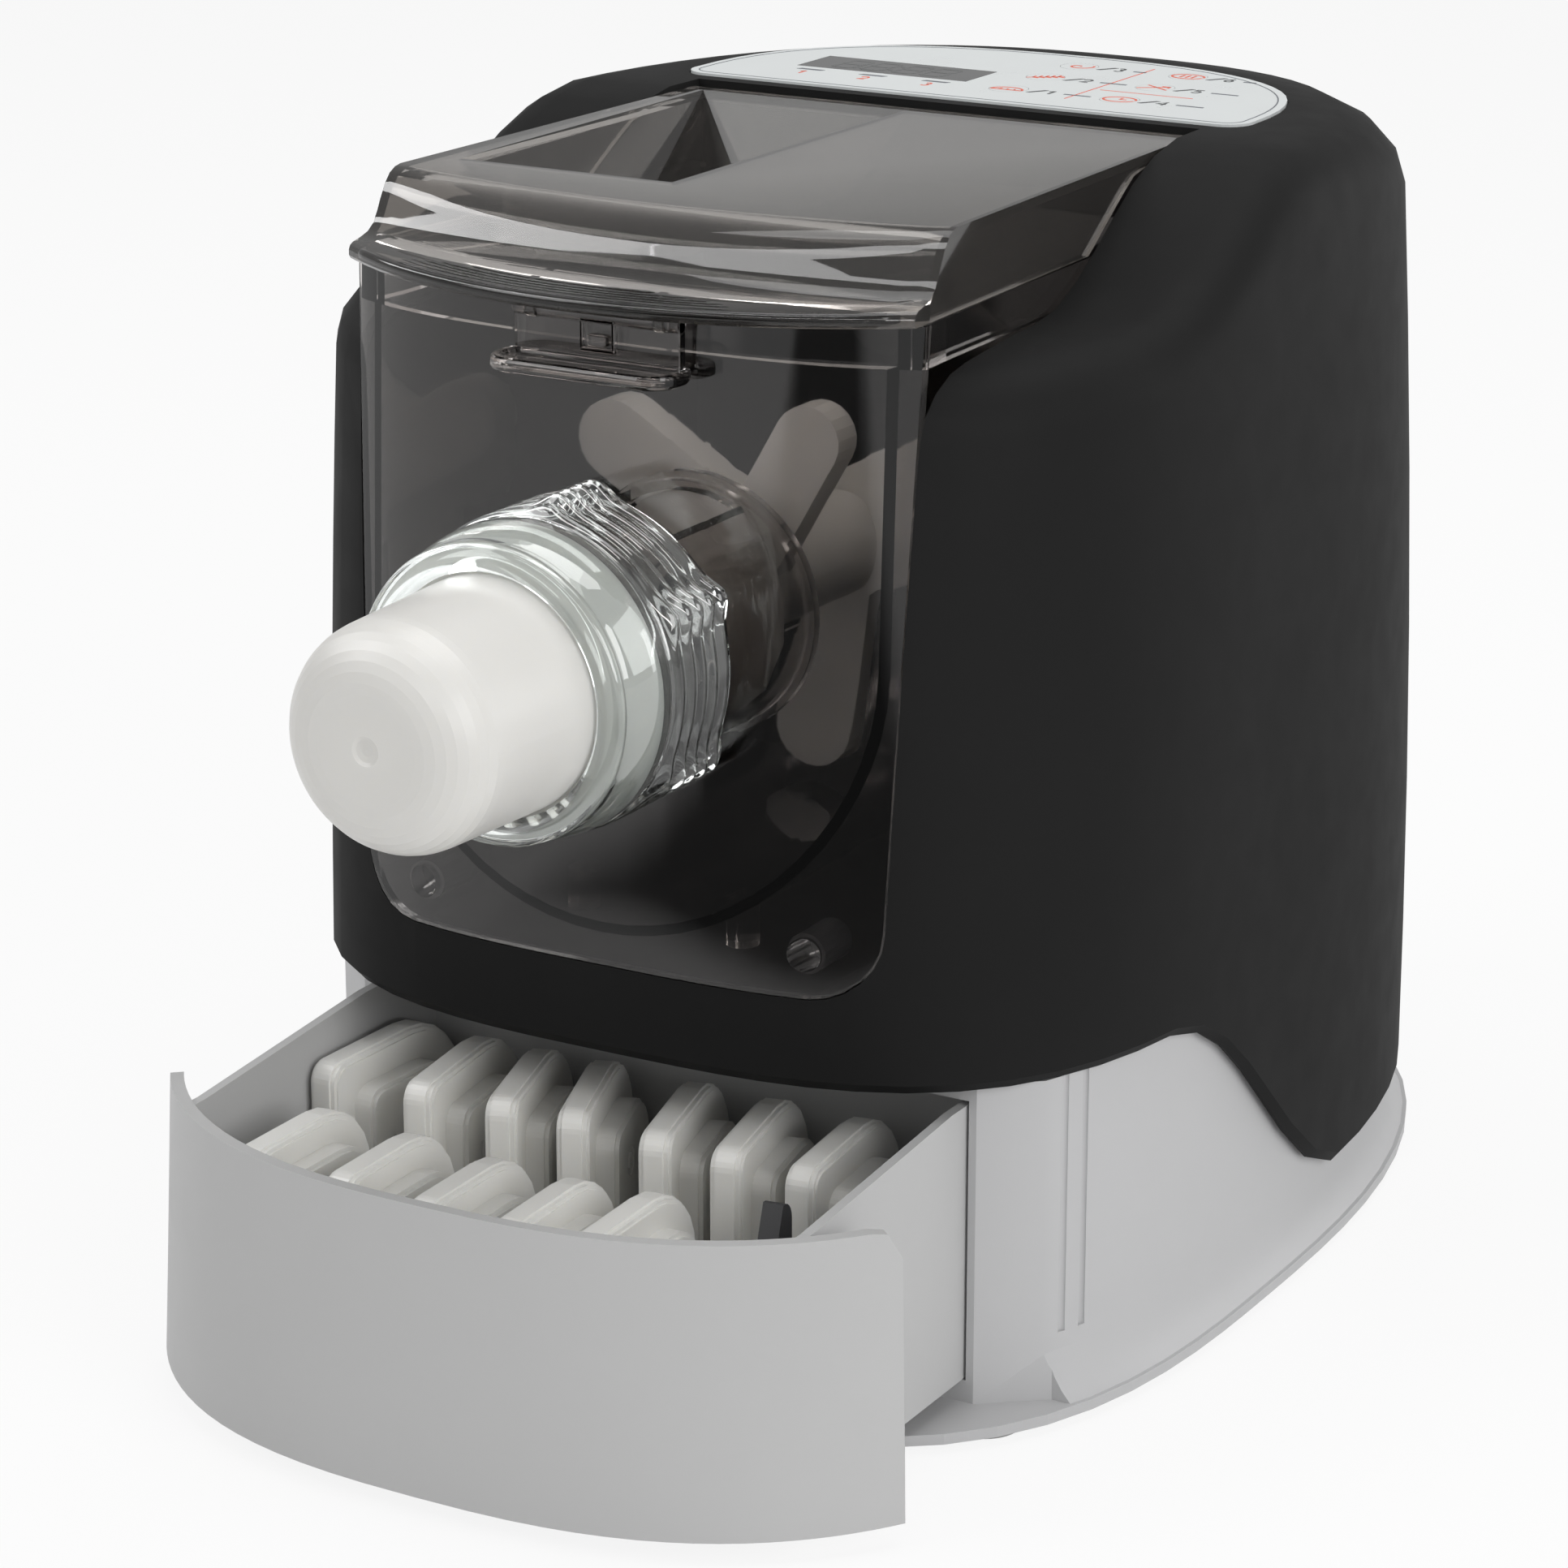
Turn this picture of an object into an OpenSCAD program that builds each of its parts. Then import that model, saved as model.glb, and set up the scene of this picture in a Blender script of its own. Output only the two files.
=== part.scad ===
// Electric pasta maker: a moulded housing on a base with a die drawer, a see-through mixing
// chamber with a hinged lid, an extrusion screw and paddle turned by a geared motor, and a
// screwed ring nut that holds the outlet cap. Front is -Y, the floor is Z = 0, millimetres.

/* [Plan] */
// Distance of the widest point of the body behind the origin (negative is in front)
plan_y = -10; // [-14:1:-6]
// Squareness of the front half of every plan outline
front_power = 3.2; // [2.8:0.1:3.6]
// Squareness of the rear half of every plan outline
rear_power = 2.5; // [2.3:0.1:2.8]

/* [Housing] */
// Half width of the housing low down
housing_half_w = 116; // [114:0.5:118]
// Reach of the housing in front of the widest point, low down
housing_front = 133; // [131:0.5:135]
// Reach of the housing behind the widest point, low down
housing_rear = 184; // [178:1:190]
// Height of the flat top
top_z = 286; // [282:1:290]
// How far the shelves beside the lid lie below the flat top
shelf_step = 34; // [31:1:37]
// Height of the front lower edge
chin_z = 86; // [85:0.5:90]
// Height of the rear lower edge
skirt_z = 20; // [16:1:26]
// Thickness of the housing wall
housing_wall = 3; // [2.6:0.1:3.4]
// How far the sides draw in at the top
side_draft = 5; // [4:0.5:6]
// How far the front draws in at the top
front_draft = 9; // [7:0.5:10]
// How far the rear draws in at the top
rear_draft = 19; // [15:1:22]
// Radius of the top edge along the sides
shoulder_r = 14; // [11:1:16]
// Radius of the top edge at the rear
rear_shoulder_r = 44; // [36:1:50]

/* [Bay] */
// Space between bowl and bay on each side, at the height of the chamber rim
bay_rim_gap = 9; // [8:0.5:10]
// Space between bowl and bay on each side, at the bay floor
bay_floor_gap = 3.5; // [3:0.5:5]
// Space between bowl and bay on each side, at the rear wall
bay_rear_gap = 4.5; // [4.5:0.5:6]
// Space between the bowl's lowest point and the bay floor
bay_under_gap = 10; // [9:0.5:11]
// Position of the bay's rear wall
bay_rear_y = 24; // [24:0.5:28]
// Radius of the bay's lower corners
bay_corner_r = 17; // [14:1:20]
// Thickness of the bay liner
liner_wall = 2.5; // [2:0.1:3]

/* [Base] */
// How far the base rim stands out beside the housing
rim_out = 1.6; // [0.6:0.2:4]
// How far the base rim stands out in front of the housing
rim_front_out = 10; // [8:0.5:12]
// How far the base rim stands out behind the housing
rim_rear_out = 6; // [3:1:9]
// Height of the rubber feet below the rim
foot_h = 2; // [1.6:0.2:2.6]
// Radius of a rubber foot
foot_r = 10.5; // [9:0.5:11]
// Thickness of the bottom plate
plate_t = 2.7; // [2.5:0.1:3]
// How far the base wall stands inside the rim
base_inset = 5.5; // [4.5:0.5:6.5]
// Thickness of the base wall
base_wall = 2.6; // [2.2:0.2:3.2]

/* [Drawer] */
// Inside half width of the drawer bay
drawer_bay_half_w = 84; // [83:0.5:85]
// How far the drawer stands open
drawer_open = 67; // [50:1:74]
// Length of the drawer box behind its front panel
drawer_len = 124; // [118:1:128]
// Thickness of the drawer walls
drawer_wall = 2.4; // [2:0.2:3]
// Height of the drawer front's top edge
drawer_top_z = 75; // [73:0.5:76]
// Running gap around the drawer
drawer_gap = 0.8; // [0.5:0.1:1.2]
// Thickness of the curved front panel
panel_t = 3; // [2.6:0.2:3.4]
// How far the panel leans back from foot to top
panel_lean = 3.4; // [2.6:0.2:5]

/* [Chamber] */
// Height of the auger shaft's axis
shaft_z = 185; // [184:0.5:186]
// Inside radius of the mixing bowl
bowl_r = 67; // [66:0.5:67.5]
// Thickness of the chamber walls
chamber_wall = 2.5; // [2.2:0.1:2.8]
// Depth of the chamber rim
rim_h = 10; // [8:0.5:11]
// Inside radius of the extrusion barrel
barrel_r = 28.2; // [27.8:0.1:28.4]
// Wall of the extrusion barrel
barrel_wall = 2.3; // [2.1:0.1:2.4]
// Length of the barrel inside the chamber
barrel_inside = 42; // [38:1:45]

/* [Outlet] */
// Outside radius of the ring nut's front rim
nut_front_r = 35; // [34.6:0.1:35.4]
// Outside radius of the ring nut at its ridges
nut_r = 37.6; // [37:0.1:38]
// Reach of the six finger lobes
lobe_r = 40.4; // [39.6:0.2:41]
// Length of the ring nut
nut_len = 44.5; // [43:0.5:45]
// Height the cap stands out of the nut
cap_len = 47; // [43:1:49]
// Radius of the cap where it leaves the nut
cap_base_r = 27.6; // [27.2:0.2:28]
// Radius of the cap at its front face
cap_tip_r = 26.6; // [25.6:0.2:27]

/* [Lid] */
// Thickness of the lid
lid_t = 2.6; // [2.2:0.1:2.8]
// How far the lid's upper face lies below the housing's flat top
lid_step = 1.4; // [1:0.2:2]
// Height of the lid above the chamber rim
lid_h = 19.6; // [19:0.5:21]
// Reach of the lip at the middle
lip_y = -153; // [-154:0.5:-151]
// Reach of the lip at the lid's corners
lip_corner_y = -128; // [-130:0.5:-126]
// Depth of the hopper
hopper_depth = 24; // [20:1:26]

/* [Panel] */
// Half width of the control panel
panel_half_w = 80; // [76:1:82]
// Front edge of the control panel
panel_front_y = 29; // [28:0.5:32]
// Rear reach of the control panel
panel_rear_y = 104; // [100:1:106]
// Radius of a key
key_r = 5; // [4:0.2:5.6]
// Travel of a key
key_travel = 0.5; // [0.3:0.1:0.6]

/* [Dies] */
// Height and width of a die's flange
die_w = 54; // [50:1:55]
// Thickness of a die's flange
die_flange_t = 8; // [7:0.5:8.5]
// Thickness of a die's nose
die_nose_t = 5.5; // [4.5:0.5:6]

/* [Drive] */
// Module of the gears
gear_module = 1.5; // [1.5:0.1:1.6]
// Teeth of the motor pinion
motor_teeth = 12; // [12:1:13]
// Teeth of the large idler gear
idler_big_teeth = 54; // [50:2:54]
// Teeth of the small idler gear
idler_small_teeth = 14; // [14:1:15]
// Teeth of the output gear
output_teeth = 56; // [52:2:56]
// Radius of the drive shaft
shaft_r = 6; // [5.5:0.1:6.2]
// Radius of the motor
motor_r = 34; // [30:1:36]
// Length of the motor
motor_len = 62; // [56:1:66]

/* [Hidden] */

// Colours
black = [0.15, 0.15, 0.15];
pale_grey = [0.74, 0.74, 0.74];
smoke = [0.35, 0.32, 0.31, 0.55];
milky = [0.93, 0.92, 0.89];
clear = [0.86, 0.89, 0.88, 0.5];
steel = [0.66, 0.67, 0.69];
fascia_grey = [0.85, 0.87, 0.87];
dark_grey = [0.25, 0.25, 0.26];
green = [0.10, 0.34, 0.20];

// Sizes that follow from the driving ones
bay_half_w = bowl_r + bay_rim_gap; // half width of the bay at the chamber rim
bay_floor_half_w = bowl_r + bay_floor_gap; // at its floor
bay_rear_half_w = bowl_r + bay_rear_gap; // at its rear wall
bay_floor_z = shaft_z - bowl_r - bay_under_gap;
shelf_z = top_z - shelf_step; // shelves beside the lid
lid_top_z = top_z - lid_step; // the lid's upper face
rim_z = lid_top_z - lid_h; // upper face of the chamber rim
rim_half_w = housing_half_w + rim_out; // half width of the base rim
rim_front = housing_front + rim_front_out; // its reach in front of the widest point
rim_rear = housing_rear + rim_rear_out; // its reach behind the widest point

// General clearances
seat = 0.3; // gap between loose pieces that rest on each other
slip = 0.05; // radial running fit of a shaft in its hole
big = 400; // longer than any part, for cutters
ring_n = 70; // points round a plan outline
draft_z = 30; // height at which the housing's draft starts

// ---------------------------------------------------------------- plan outlines

function spow(v, p) = sign(v) * pow(abs(v), p);

// Radius at angle t of a unit circle squared off by power p
function square_circle(t, p) = 1 / pow(pow(abs(cos(t)), p) + pow(abs(sin(t)), p), 1 / p);

// Point of a plan outline: a is the half width, f and r the reach in front and behind
function plan_pt(t, a, f, r) =
    let (front = sin(t) < 0, k = square_circle(t, front ? front_power : rear_power))
    [a * k * cos(t), plan_y + (front ? f : r) * k * sin(t)];

function plan_angle(i) = -90 + 360 * i / ring_n;
function plan_outline(a, f, r) = [for (i = [0:ring_n - 1]) plan_pt(plan_angle(i), a, f, r)];

// y of a plan outline's front half at a given x
function front_y(x, a, f) =
    plan_y - f * pow(max(0, 1 - pow(abs(x) / a, front_power)), 1 / front_power);

function smooth(u) = let (v = min(1, max(0, u))) v * v * (3 - 2 * v);
function mix(a, b, u) = a + (b - a) * u;

// ---------------------------------------------------------------- lofts

// Faces between rings of n points, ring k starting at point k * n
function side_faces(rings, n, flip) = [for (k = [0:rings - 2], i = [0:n - 1])
    let (a = k * n + i, b = k * n + (i + 1) % n, c = b + n, d = a + n)
    flip ? [a, b, c, d] : [d, c, b, a]];

// Cap of a mirror-symmetric ring made of strips that run from side to side
function strip_faces(first, n, flip) = [for (i = [0:n / 2 - 1])
    let (a = first + i, b = first + i + 1, c = first + (n - i - 1) % n, d = first + (n - i) % n,
         f = i == 0 ? [a, b, c] : i == n / 2 - 1 ? [a, b, d] : [a, b, c, d])
    flip ? [for (j = [len(f) - 1:-1:0]) f[j]] : f];

// Solid between rings, closed with strips at both ends
module loft(rings) {
    n = len(rings[0]);
    polyhedron(
        points = [for (r = rings) each r],
        faces = concat(side_faces(len(rings), n, false),
                       strip_faces(0, n, false),
                       strip_faces((len(rings) - 1) * n, n, true)),
        convexity = 8);
}

// ---------------------------------------------------------------- housing form

s_front_y = -66; // where the cut beside the lid starts to rise
s_rear_y = 8; // where it reaches the top
shelf_rise = 3; // rise of the shelf from front to rear
wave_front_y = -66; // where the lower edge starts to fall
wave_rear_y = 36; // where it reaches the rear skirt

// Height of the housing's upper edge at a given y
function edge_z(y) =
    let (s = shelf_z + shelf_rise * smooth((y + 130) / 64))
    mix(s, top_z, smooth((y - s_front_y) / (s_rear_y - s_front_y)));

// Height of the housing's lower edge at a given y
function hem_z(y) = mix(chin_z, skirt_z, smooth((y - wave_front_y) / (wave_rear_y - wave_front_y)));

// Share of the draft that applies at height z
function draft(z) = pow(max(0, z - draft_z) / (top_z - draft_z), 2);

// Point of the housing surface, drawn in by inset
function housing_pt(t, z, inset) =
    let (d = draft(z), p = plan_pt(t, housing_half_w - side_draft * d - inset,
                                   housing_front - front_draft * d - inset,
                                   housing_rear - rear_draft * d - inset))
    [p[0], p[1], z];

// Share of the rear shoulder at angle t: none in front, all of it at the back
function rear_share(t) = sin(t) < 0 ? 0 : 1 - pow(abs(cos(t)), rear_power);
function shoulder_in(t) = mix(shoulder_r, rear_shoulder_r, rear_share(t));
function shoulder_drop(t) = mix(shoulder_r, rear_shoulder_r * 0.8, rear_share(t));

// Outline of the flat top, inside the shoulder
function crown_y(t) = plan_pt(t, housing_half_w, housing_front - front_draft - shoulder_r,
                              housing_rear - rear_draft - rear_shoulder_r)[1];

hem_r = 2.5; // rounding of the lower edge
wall_levels = [0, 0.15, 0.32, 0.5, 0.68, 0.85, 1];
shoulder_angles = [22.5, 45, 67.5, 90];

// Rings of the housing's skin, thickness inside the outer face
function skin_rings(thick) = [
    for (u = concat(thick == 0 ? [-1] : [], wall_levels)) [
        for (i = [0:ring_n - 1])
            let (t = plan_angle(i),
                 low = hem_z(plan_pt(t, housing_half_w, housing_front, housing_rear)[1]),
                 high = edge_z(crown_y(t)) - shoulder_drop(t))
            u < 0 ? housing_pt(t, low, hem_r * 0.8)
                  : housing_pt(t, mix(low + (thick == 0 ? hem_r : 0), high, u), thick)],
    for (a = shoulder_angles) [
        for (i = [0:ring_n - 1])
            let (t = plan_angle(i), high = edge_z(crown_y(t)) - shoulder_drop(t),
                 reach = shoulder_in(t) - thick, drop = shoulder_drop(t) - thick,
                 z = high + drop * sin(a))
            housing_pt(t, z, thick + reach * (1 - cos(a)))]];

module housing_skin() {
    outer = skin_rings(0);
    inner = skin_rings(housing_wall);
    n = ring_n;
    inner_first = len(outer) * n;
    points = [for (r = concat(outer, inner)) each r];
    rim = [for (i = [0:n - 1]) let (j = (i + 1) % n)
        [i, j, inner_first + j, inner_first + i]];
    outer_sides = side_faces(len(outer), n, false);
    inner_sides = [for (f = side_faces(len(inner), n, true)) [for (v = f) v + inner_first]];
    polyhedron(
        points = points,
        faces = concat(outer_sides, rim, inner_sides,
                       strip_faces((len(outer) - 1) * n, n, true),
                       strip_faces(inner_first + (len(inner) - 1) * n, n, false)),
        convexity = 10);
}

// ---------------------------------------------------------------- bay form

// Front view of the bay, grown outwards by g
module bay_front_2d(g) {
    low_w = bay_floor_half_w + g;
    high_w = bay_half_w + g;
    r = bay_corner_r + g;
    z0 = bay_floor_z - g;
    slope = (bay_half_w - bay_floor_half_w) / (rim_z - bay_floor_z);
    up = top_z + 30;
    w_up = high_w + slope * (up - rim_z);
    corner = [for (a = [0:15:90]) [low_w + slope * r - r + r * sin(a), z0 + r - r * cos(a)]];
    polygon(concat(corner, [[w_up, up], [-w_up, up]],
                   [for (i = [len(corner) - 1:-1:0]) [-corner[i][0], corner[i][1]]]));
}

// How much the bay's half width grows for each millimetre forwards
bay_taper = (bay_half_w - bay_rear_half_w) / (bay_rear_y - plan_y + housing_front - 13);

// Plan of the bay: it narrows towards the rear wall
module bay_plan_2d(g) {
    front = -200;
    rear_w = bay_rear_half_w + g;
    front_w = rear_w + bay_taper * (bay_rear_y - front);
    polygon([[-rear_w, bay_rear_y + g], [-front_w, front], [front_w, front], [rear_w, bay_rear_y + g]]);
}

// Space of the bay, grown outwards by g
module bay_space(g) {
    intersection() {
        rotate([90, 0, 0]) linear_extrude(big, center = true) bay_front_2d(g);
        translate([0, 0, bay_floor_z - 20]) linear_extrude(big) bay_plan_2d(g);
    }
}

// ---------------------------------------------------------------- control panel layout

fascia_t = 1.2;
fascia_proud = 0.6; // stands above the housing top
board_z = top_z - 12; // top of the control board
key_cols = [6, 37.5]; // from the panel's middle
key_rows = [48.5, 69, 88.5]; // y of each row
key_xy = [for (c = key_cols, r = key_rows) [c, r]];
display_c = [-33.5, 61];
display_size = [50, 17.5];
board_post_xy = [[-66, 44], [56, 40], [-42, 86], [58, 72]];

module panel_2d(g) {
    w = panel_half_w + g;
    d = panel_rear_y - panel_front_y + g;
    r = 7;
    arc = [for (a = [0:6:180])
        [w * spow(cos(a), 0.8), panel_front_y + r + (d - r) * spow(sin(a), 0.8)]];
    corner = [for (a = [0:15:90]) [w - r + r * cos(a), panel_front_y + r - (r + g) * sin(a)]];
    polygon(concat(
        [for (i = [len(corner) - 1:-1:1]) corner[i]], arc,
        [for (i = [1:len(corner) - 1]) [-corner[i][0], corner[i][1]]]));
}

module display_2d(g) {
    square([display_size[0] + 2 * g, display_size[1] + 2 * g], center = true);
}

// ---------------------------------------------------------------- housing

vent_n = 7;
vent_z = 58; // lowest rear vent
vent_pitch = 9;
vent_x = 30; // middle of each column of vents
vent_half_len = 17;
gland_x = 46;
gland_z = 40;
gland_r = 7;
board_post_r = 3;

// A level slot through the rear wall
module vent_slot() rotate([-90, 0, 0]) linear_extrude(housing_rear / 2) {
    square([2 * vent_half_len, 3.2], center = true);
    for (m = [-1, 1]) translate([m * vent_half_len, 0]) circle(r = 1.6, $fn = 16);
}

// Way for the cord gland through the rear walls of housing and base
module gland_way() translate([gland_x, housing_rear / 2, gland_z]) rotate([-90, 0, 0])
    cylinder(h = housing_rear, r = gland_r, $fn = 32);

module housing_shell() color(black) {
    difference() {
        union() {
            housing_skin();
            for (p = board_post_xy) translate([p[0], p[1], board_z])
                cylinder(h = top_z - housing_wall / 2 - board_z, r = board_post_r, $fn = 24);
        }
        bay_space(0);
        translate([0, 0, top_z - fascia_t + fascia_proud]) linear_extrude(5) panel_2d(seat);
        translate([0, 0, top_z - 8]) {
            for (p = key_xy) translate(p) {
                cylinder(h = 20, r = key_r - 1, $fn = 32);
                translate([0, 0, 6.6]) cylinder(h = 20, r = key_r + seat / 2, $fn = 40);
            }
            translate(display_c) linear_extrude(20) display_2d(-2);
        }
        for (i = [0:vent_n - 1], m = [-1, 1])
            translate([m * vent_x, plan_y + housing_rear * 0.7, vent_z + i * vent_pitch]) vent_slot();
        gland_way();
    }
}

// Inner face of the housing's front at the bay's side walls, near the top
pillar_y = front_y(bay_half_w, housing_half_w - side_draft,
                   housing_front - front_draft - housing_wall);

// How far the housing's top edge has rounded down this close to its front
function pillar_drop(y) = let (r = shoulder_r - housing_wall + 2, d = y - pillar_y)
    r - sqrt(max(0, r * r - pow(min(r, max(0, r - d)), 2)));

// Side view of the liner, under the housing's upper edge
module liner_side_2d() {
    rear = bay_rear_y + liner_wall;
    front = plan_y - housing_front;
    skin_ys = [for (i = [1:ring_n / 2]) crown_y(plan_angle(i))];
    ys = concat([front - 17, front + 7, front + 9], [for (y = skin_ys) if (y < rear) y], [rear]);
    floor_edge = bay_floor_z - liner_wall;
    polygon(concat([[front - 17, floor_edge]],
                   [for (y = ys) [y, edge_z(y) - housing_wall - 1 - pillar_drop(y)]],
                   [[rear, floor_edge]]));
}

hinge_y = bay_rear_y - 9;
hinge_z = lid_top_z - 5.6;
hinge_r = 2.5;
shaft_hole_r = shaft_r + 5;

module bay_liner() color(black) {
    difference() {
        intersection() {
            difference() {
                bay_space(liner_wall);
                bay_space(0);
            }
            rotate([90, 0, 90]) linear_extrude(big, center = true) liner_side_2d();
            behind_front(housing_wall + 2.2);
        }
        translate([0, hinge_y, hinge_z]) rotate([0, 90, 0])
            cylinder(h = big, r = hinge_r + slip, center = true, $fn = 32);
        translate([0, 0, shaft_z]) rotate([-90, 0, 0]) cylinder(h = 60, r = shaft_hole_r, $fn = 48);
    }
    // boss that carries the shaft seal
    translate([0, bay_rear_y + liner_wall, shaft_z]) rotate([-90, 0, 0]) difference() {
        cylinder(h = 3, r = shaft_hole_r + 3, $fn = 48);
        translate([0, 0, -1]) cylinder(h = 5, r = shaft_hole_r, $fn = 48);
    }
}

// ---------------------------------------------------------------- base

floor_z = foot_h + plate_t; // lower edge of the base shell
drawer_floor_z = floor_z + 5.5; // surface the drawer runs on
bay_top_z = chin_z - 5; // ceiling of the drawer bay
rib_x = rim_half_w - 13.6; // ends of the panel seat
rib_y = plan_y - rim_front + 50;
opening_y = rib_y - 11.5; // front of the opening's frame
opening_half_w = drawer_bay_half_w + 2;
drawer_bay_len = 112;
groove_r = 1.1; // twin grooves beside the panel seat

// Share by which the base wall stands inside the rim at height z
function flare(z) = 1 - pow(max(0, 1 - (z - floor_z) / 17), 2.5);

// x of the base wall's outer face at a distance behind the panel seat's end
function groove_x(k) = let (a = rim_half_w - 1 - base_inset, f = rim_front - 1 - base_inset)
    a * pow(1 - pow((plan_y - rib_y - 4 - k) / f, front_power), 1 / front_power);

base_levels = [0, 3, 6, 9, 12, 17];
base_top_z = chin_z - 0.4;

function base_ring(z, inset) =
    let (back = 1 + base_inset * flare(z) + inset)
    [for (p = plan_outline(rim_half_w - back, rim_front - back, rim_rear - back - 4 * flare(z)))
        [p[0], p[1], z]];

module base_solid(inset) {
    levels = inset == 0 ? base_levels : [-1, 4, 9, 17];
    top = base_top_z + (inset == 0 ? 0 : 1);
    loft(concat([for (h = levels) base_ring(floor_z + h, inset)], [base_ring(top, inset)]));
}

// Plan of the space in front of the base where the drawer panel closes
module panel_seat_2d() {
    right = [[opening_half_w, opening_y], [rib_x - 3, rib_y], [rim_half_w + 0.4, rib_y],
             [big, rib_y - 30], [big, -big]];
    left = [for (i = [len(right) - 1:-1:0]) [-right[i][0], right[i][1]]];
    polygon(concat(left, right));
}

// Plan of the frame round the drawer opening
module opening_frame_2d() {
    w = rib_x + 3;
    polygon([[-w, rib_y], [-opening_half_w, opening_y], [opening_half_w, opening_y], [w, rib_y],
             [w, rib_y + base_wall], [-w, rib_y + base_wall]]);
}

module base_shell() color(pale_grey) {
    difference() {
        union() {
            difference() {
                base_solid(0);
                base_solid(base_wall);
            }
            // walls, floor and ceiling of the drawer bay, and the frame round its opening
            intersection() {
                base_solid(base_wall / 2);
                union() {
                    translate([0, opening_y + drawer_bay_len / 2, (floor_z + base_top_z) / 2])
                        cube([2 * (drawer_bay_half_w + base_wall), drawer_bay_len,
                              base_top_z - floor_z], center = true);
                    translate([0, 0, floor_z]) linear_extrude(base_top_z - floor_z)
                        opening_frame_2d();
                }
            }
        }
        translate([0, 0, -1]) linear_extrude(200) panel_seat_2d();
        // the bay itself
        translate([0, opening_y + drawer_bay_len / 2 - base_wall, (drawer_floor_z + bay_top_z) / 2])
            cube([2 * drawer_bay_half_w, drawer_bay_len, bay_top_z - drawer_floor_z], center = true);
        gland_way();
        // twin grooves beside the panel seat
        for (m = [-1, 1], k = [0, 6]) translate([m * groove_x(k), rib_y + 4 + k, floor_z + 16])
            cylinder(h = big, r = groove_r, $fn = 24);
    }
}

screw_x = drawer_bay_half_w + 8; // beside the drawer bay
plate_screw_xy = [for (m = [-1, 1])
    each [[m * screw_x, -60], [m * screw_x, 40], [m * (screw_x - 14), 104]]];
foot_xy = [for (m = [-1, 1])
    each [[m * (rim_half_w - 29.6), plan_y - rim_front + 40],
          [m * (rim_half_w - 43.6), plan_y + rim_rear - 60]]];
plate_slots = 6; // cooling slots on each side of the middle one
plate_slot = [3, 46];
plate_slot_pitch = 8;
plate_slot_y = 76;
plate_post_r = 4;

module base_plate() color(pale_grey) {
    difference() {
        translate([0, 0, foot_h]) linear_extrude(plate_t)
            polygon(plan_outline(rim_half_w, rim_front, rim_rear));
        for (p = foot_xy) translate([p[0], p[1], 0]) cylinder(h = foot_h + 1, r = foot_r + seat, $fn = 40);
        for (p = plate_screw_xy) translate([p[0], p[1], 0])
            cylinder(h = foot_h + 2, r = plate_post_r, $fn = 24);
        for (i = [-plate_slots:plate_slots])
            translate([i * plate_slot_pitch, plate_slot_y, foot_h + plate_t / 2])
                cube([plate_slot[0], plate_slot[1], plate_t + 2], center = true);
    }
    // posts for the power board
    for (p = power_post_xy) translate([p[0], p[1], floor_z])
        cylinder(h = power_board_z - floor_z, r = 3.2, $fn = 24);
    // posts that carry the base shell's screws
    for (p = plate_screw_xy) translate([p[0], p[1], floor_z])
        cylinder(h = 8, r = plate_post_r, $fn = 24);
}

module rubber_feet() color(dark_grey)
    for (p = foot_xy) translate([p[0], p[1], 0]) {
        cylinder(h = 1, r1 = foot_r - 1, r2 = foot_r, $fn = 40);
        translate([0, 0, 1]) cylinder(h = foot_h, r = foot_r, $fn = 40);
    }

module base_screws() color(steel)
    for (p = plate_screw_xy) translate([p[0], p[1], foot_h]) {
        difference() {
            cylinder(h = 2, r = 3.6, $fn = 24);
            for (a = [0, 90]) rotate(a) translate([-2.2, -0.4, -1]) cube([4.4, 0.8, 2]);
        }
    }

// ---------------------------------------------------------------- power board

power_board_z = floor_z + 8;
power_board = [108, 96, 1.6];
power_board_y = 42; // front edge
power_post_in = 6; // from the board's edges
power_post_xy = [for (m = [-1, 1], y = [power_post_in, power_board[1] - power_post_in])
    [m * (power_board[0] / 2 - power_post_in), power_board_y + y]];
sink_fins = 6;
sink_pitch = 4;

// Circuit board with a transformer, two capacitors, a heat sink and a connector
module power_board() translate([0, power_board_y, power_board_z]) {
    color(green) translate([-power_board[0] / 2, 0, 0]) cube(power_board);
    translate([0, 0, power_board[2]]) {
        color(dark_grey) translate([-44, 14, 0]) cube([34, 30, 26]);
        color(steel) translate([-40, 10, 4]) cube([26, 38, 18]);
        color(dark_grey) for (y = [18, 40]) translate([10, y, 0]) cylinder(h = 24, r = 8, $fn = 32);
        color(steel) translate([24, 50, 0]) {
            cube([sink_fins * sink_pitch + 1, 34, 3]);
            for (i = [0:sink_fins - 1]) translate([2 + i * sink_pitch, 0, 0]) cube([1.6, 34, 26]);
        }
        color(fascia_grey) translate([24, 8, 0]) cube([22, 14, 12]);
    }
}

// ---------------------------------------------------------------- control panel

module control_fascia() color(fascia_grey)
    difference() {
        translate([0, 0, top_z - fascia_t + fascia_proud]) linear_extrude(fascia_t) panel_2d(0);
        translate([0, 0, top_z - 5]) {
            for (p = key_xy) translate(p) cylinder(h = 10, r = key_r + seat / 2, $fn = 40);
            translate(display_c) linear_extrude(10) display_2d(seat / 3);
        }
    }

module display_window() color([0.10, 0.11, 0.12])
    translate([display_c[0], display_c[1], top_z - fascia_t + fascia_proud])
        linear_extrude(fascia_t) display_2d(0);

module display_module() color(dark_grey)
    translate([display_c[0], display_c[1], board_z])
        linear_extrude(top_z - board_z - fascia_t + fascia_proud - seat) display_2d(-3);

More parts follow.
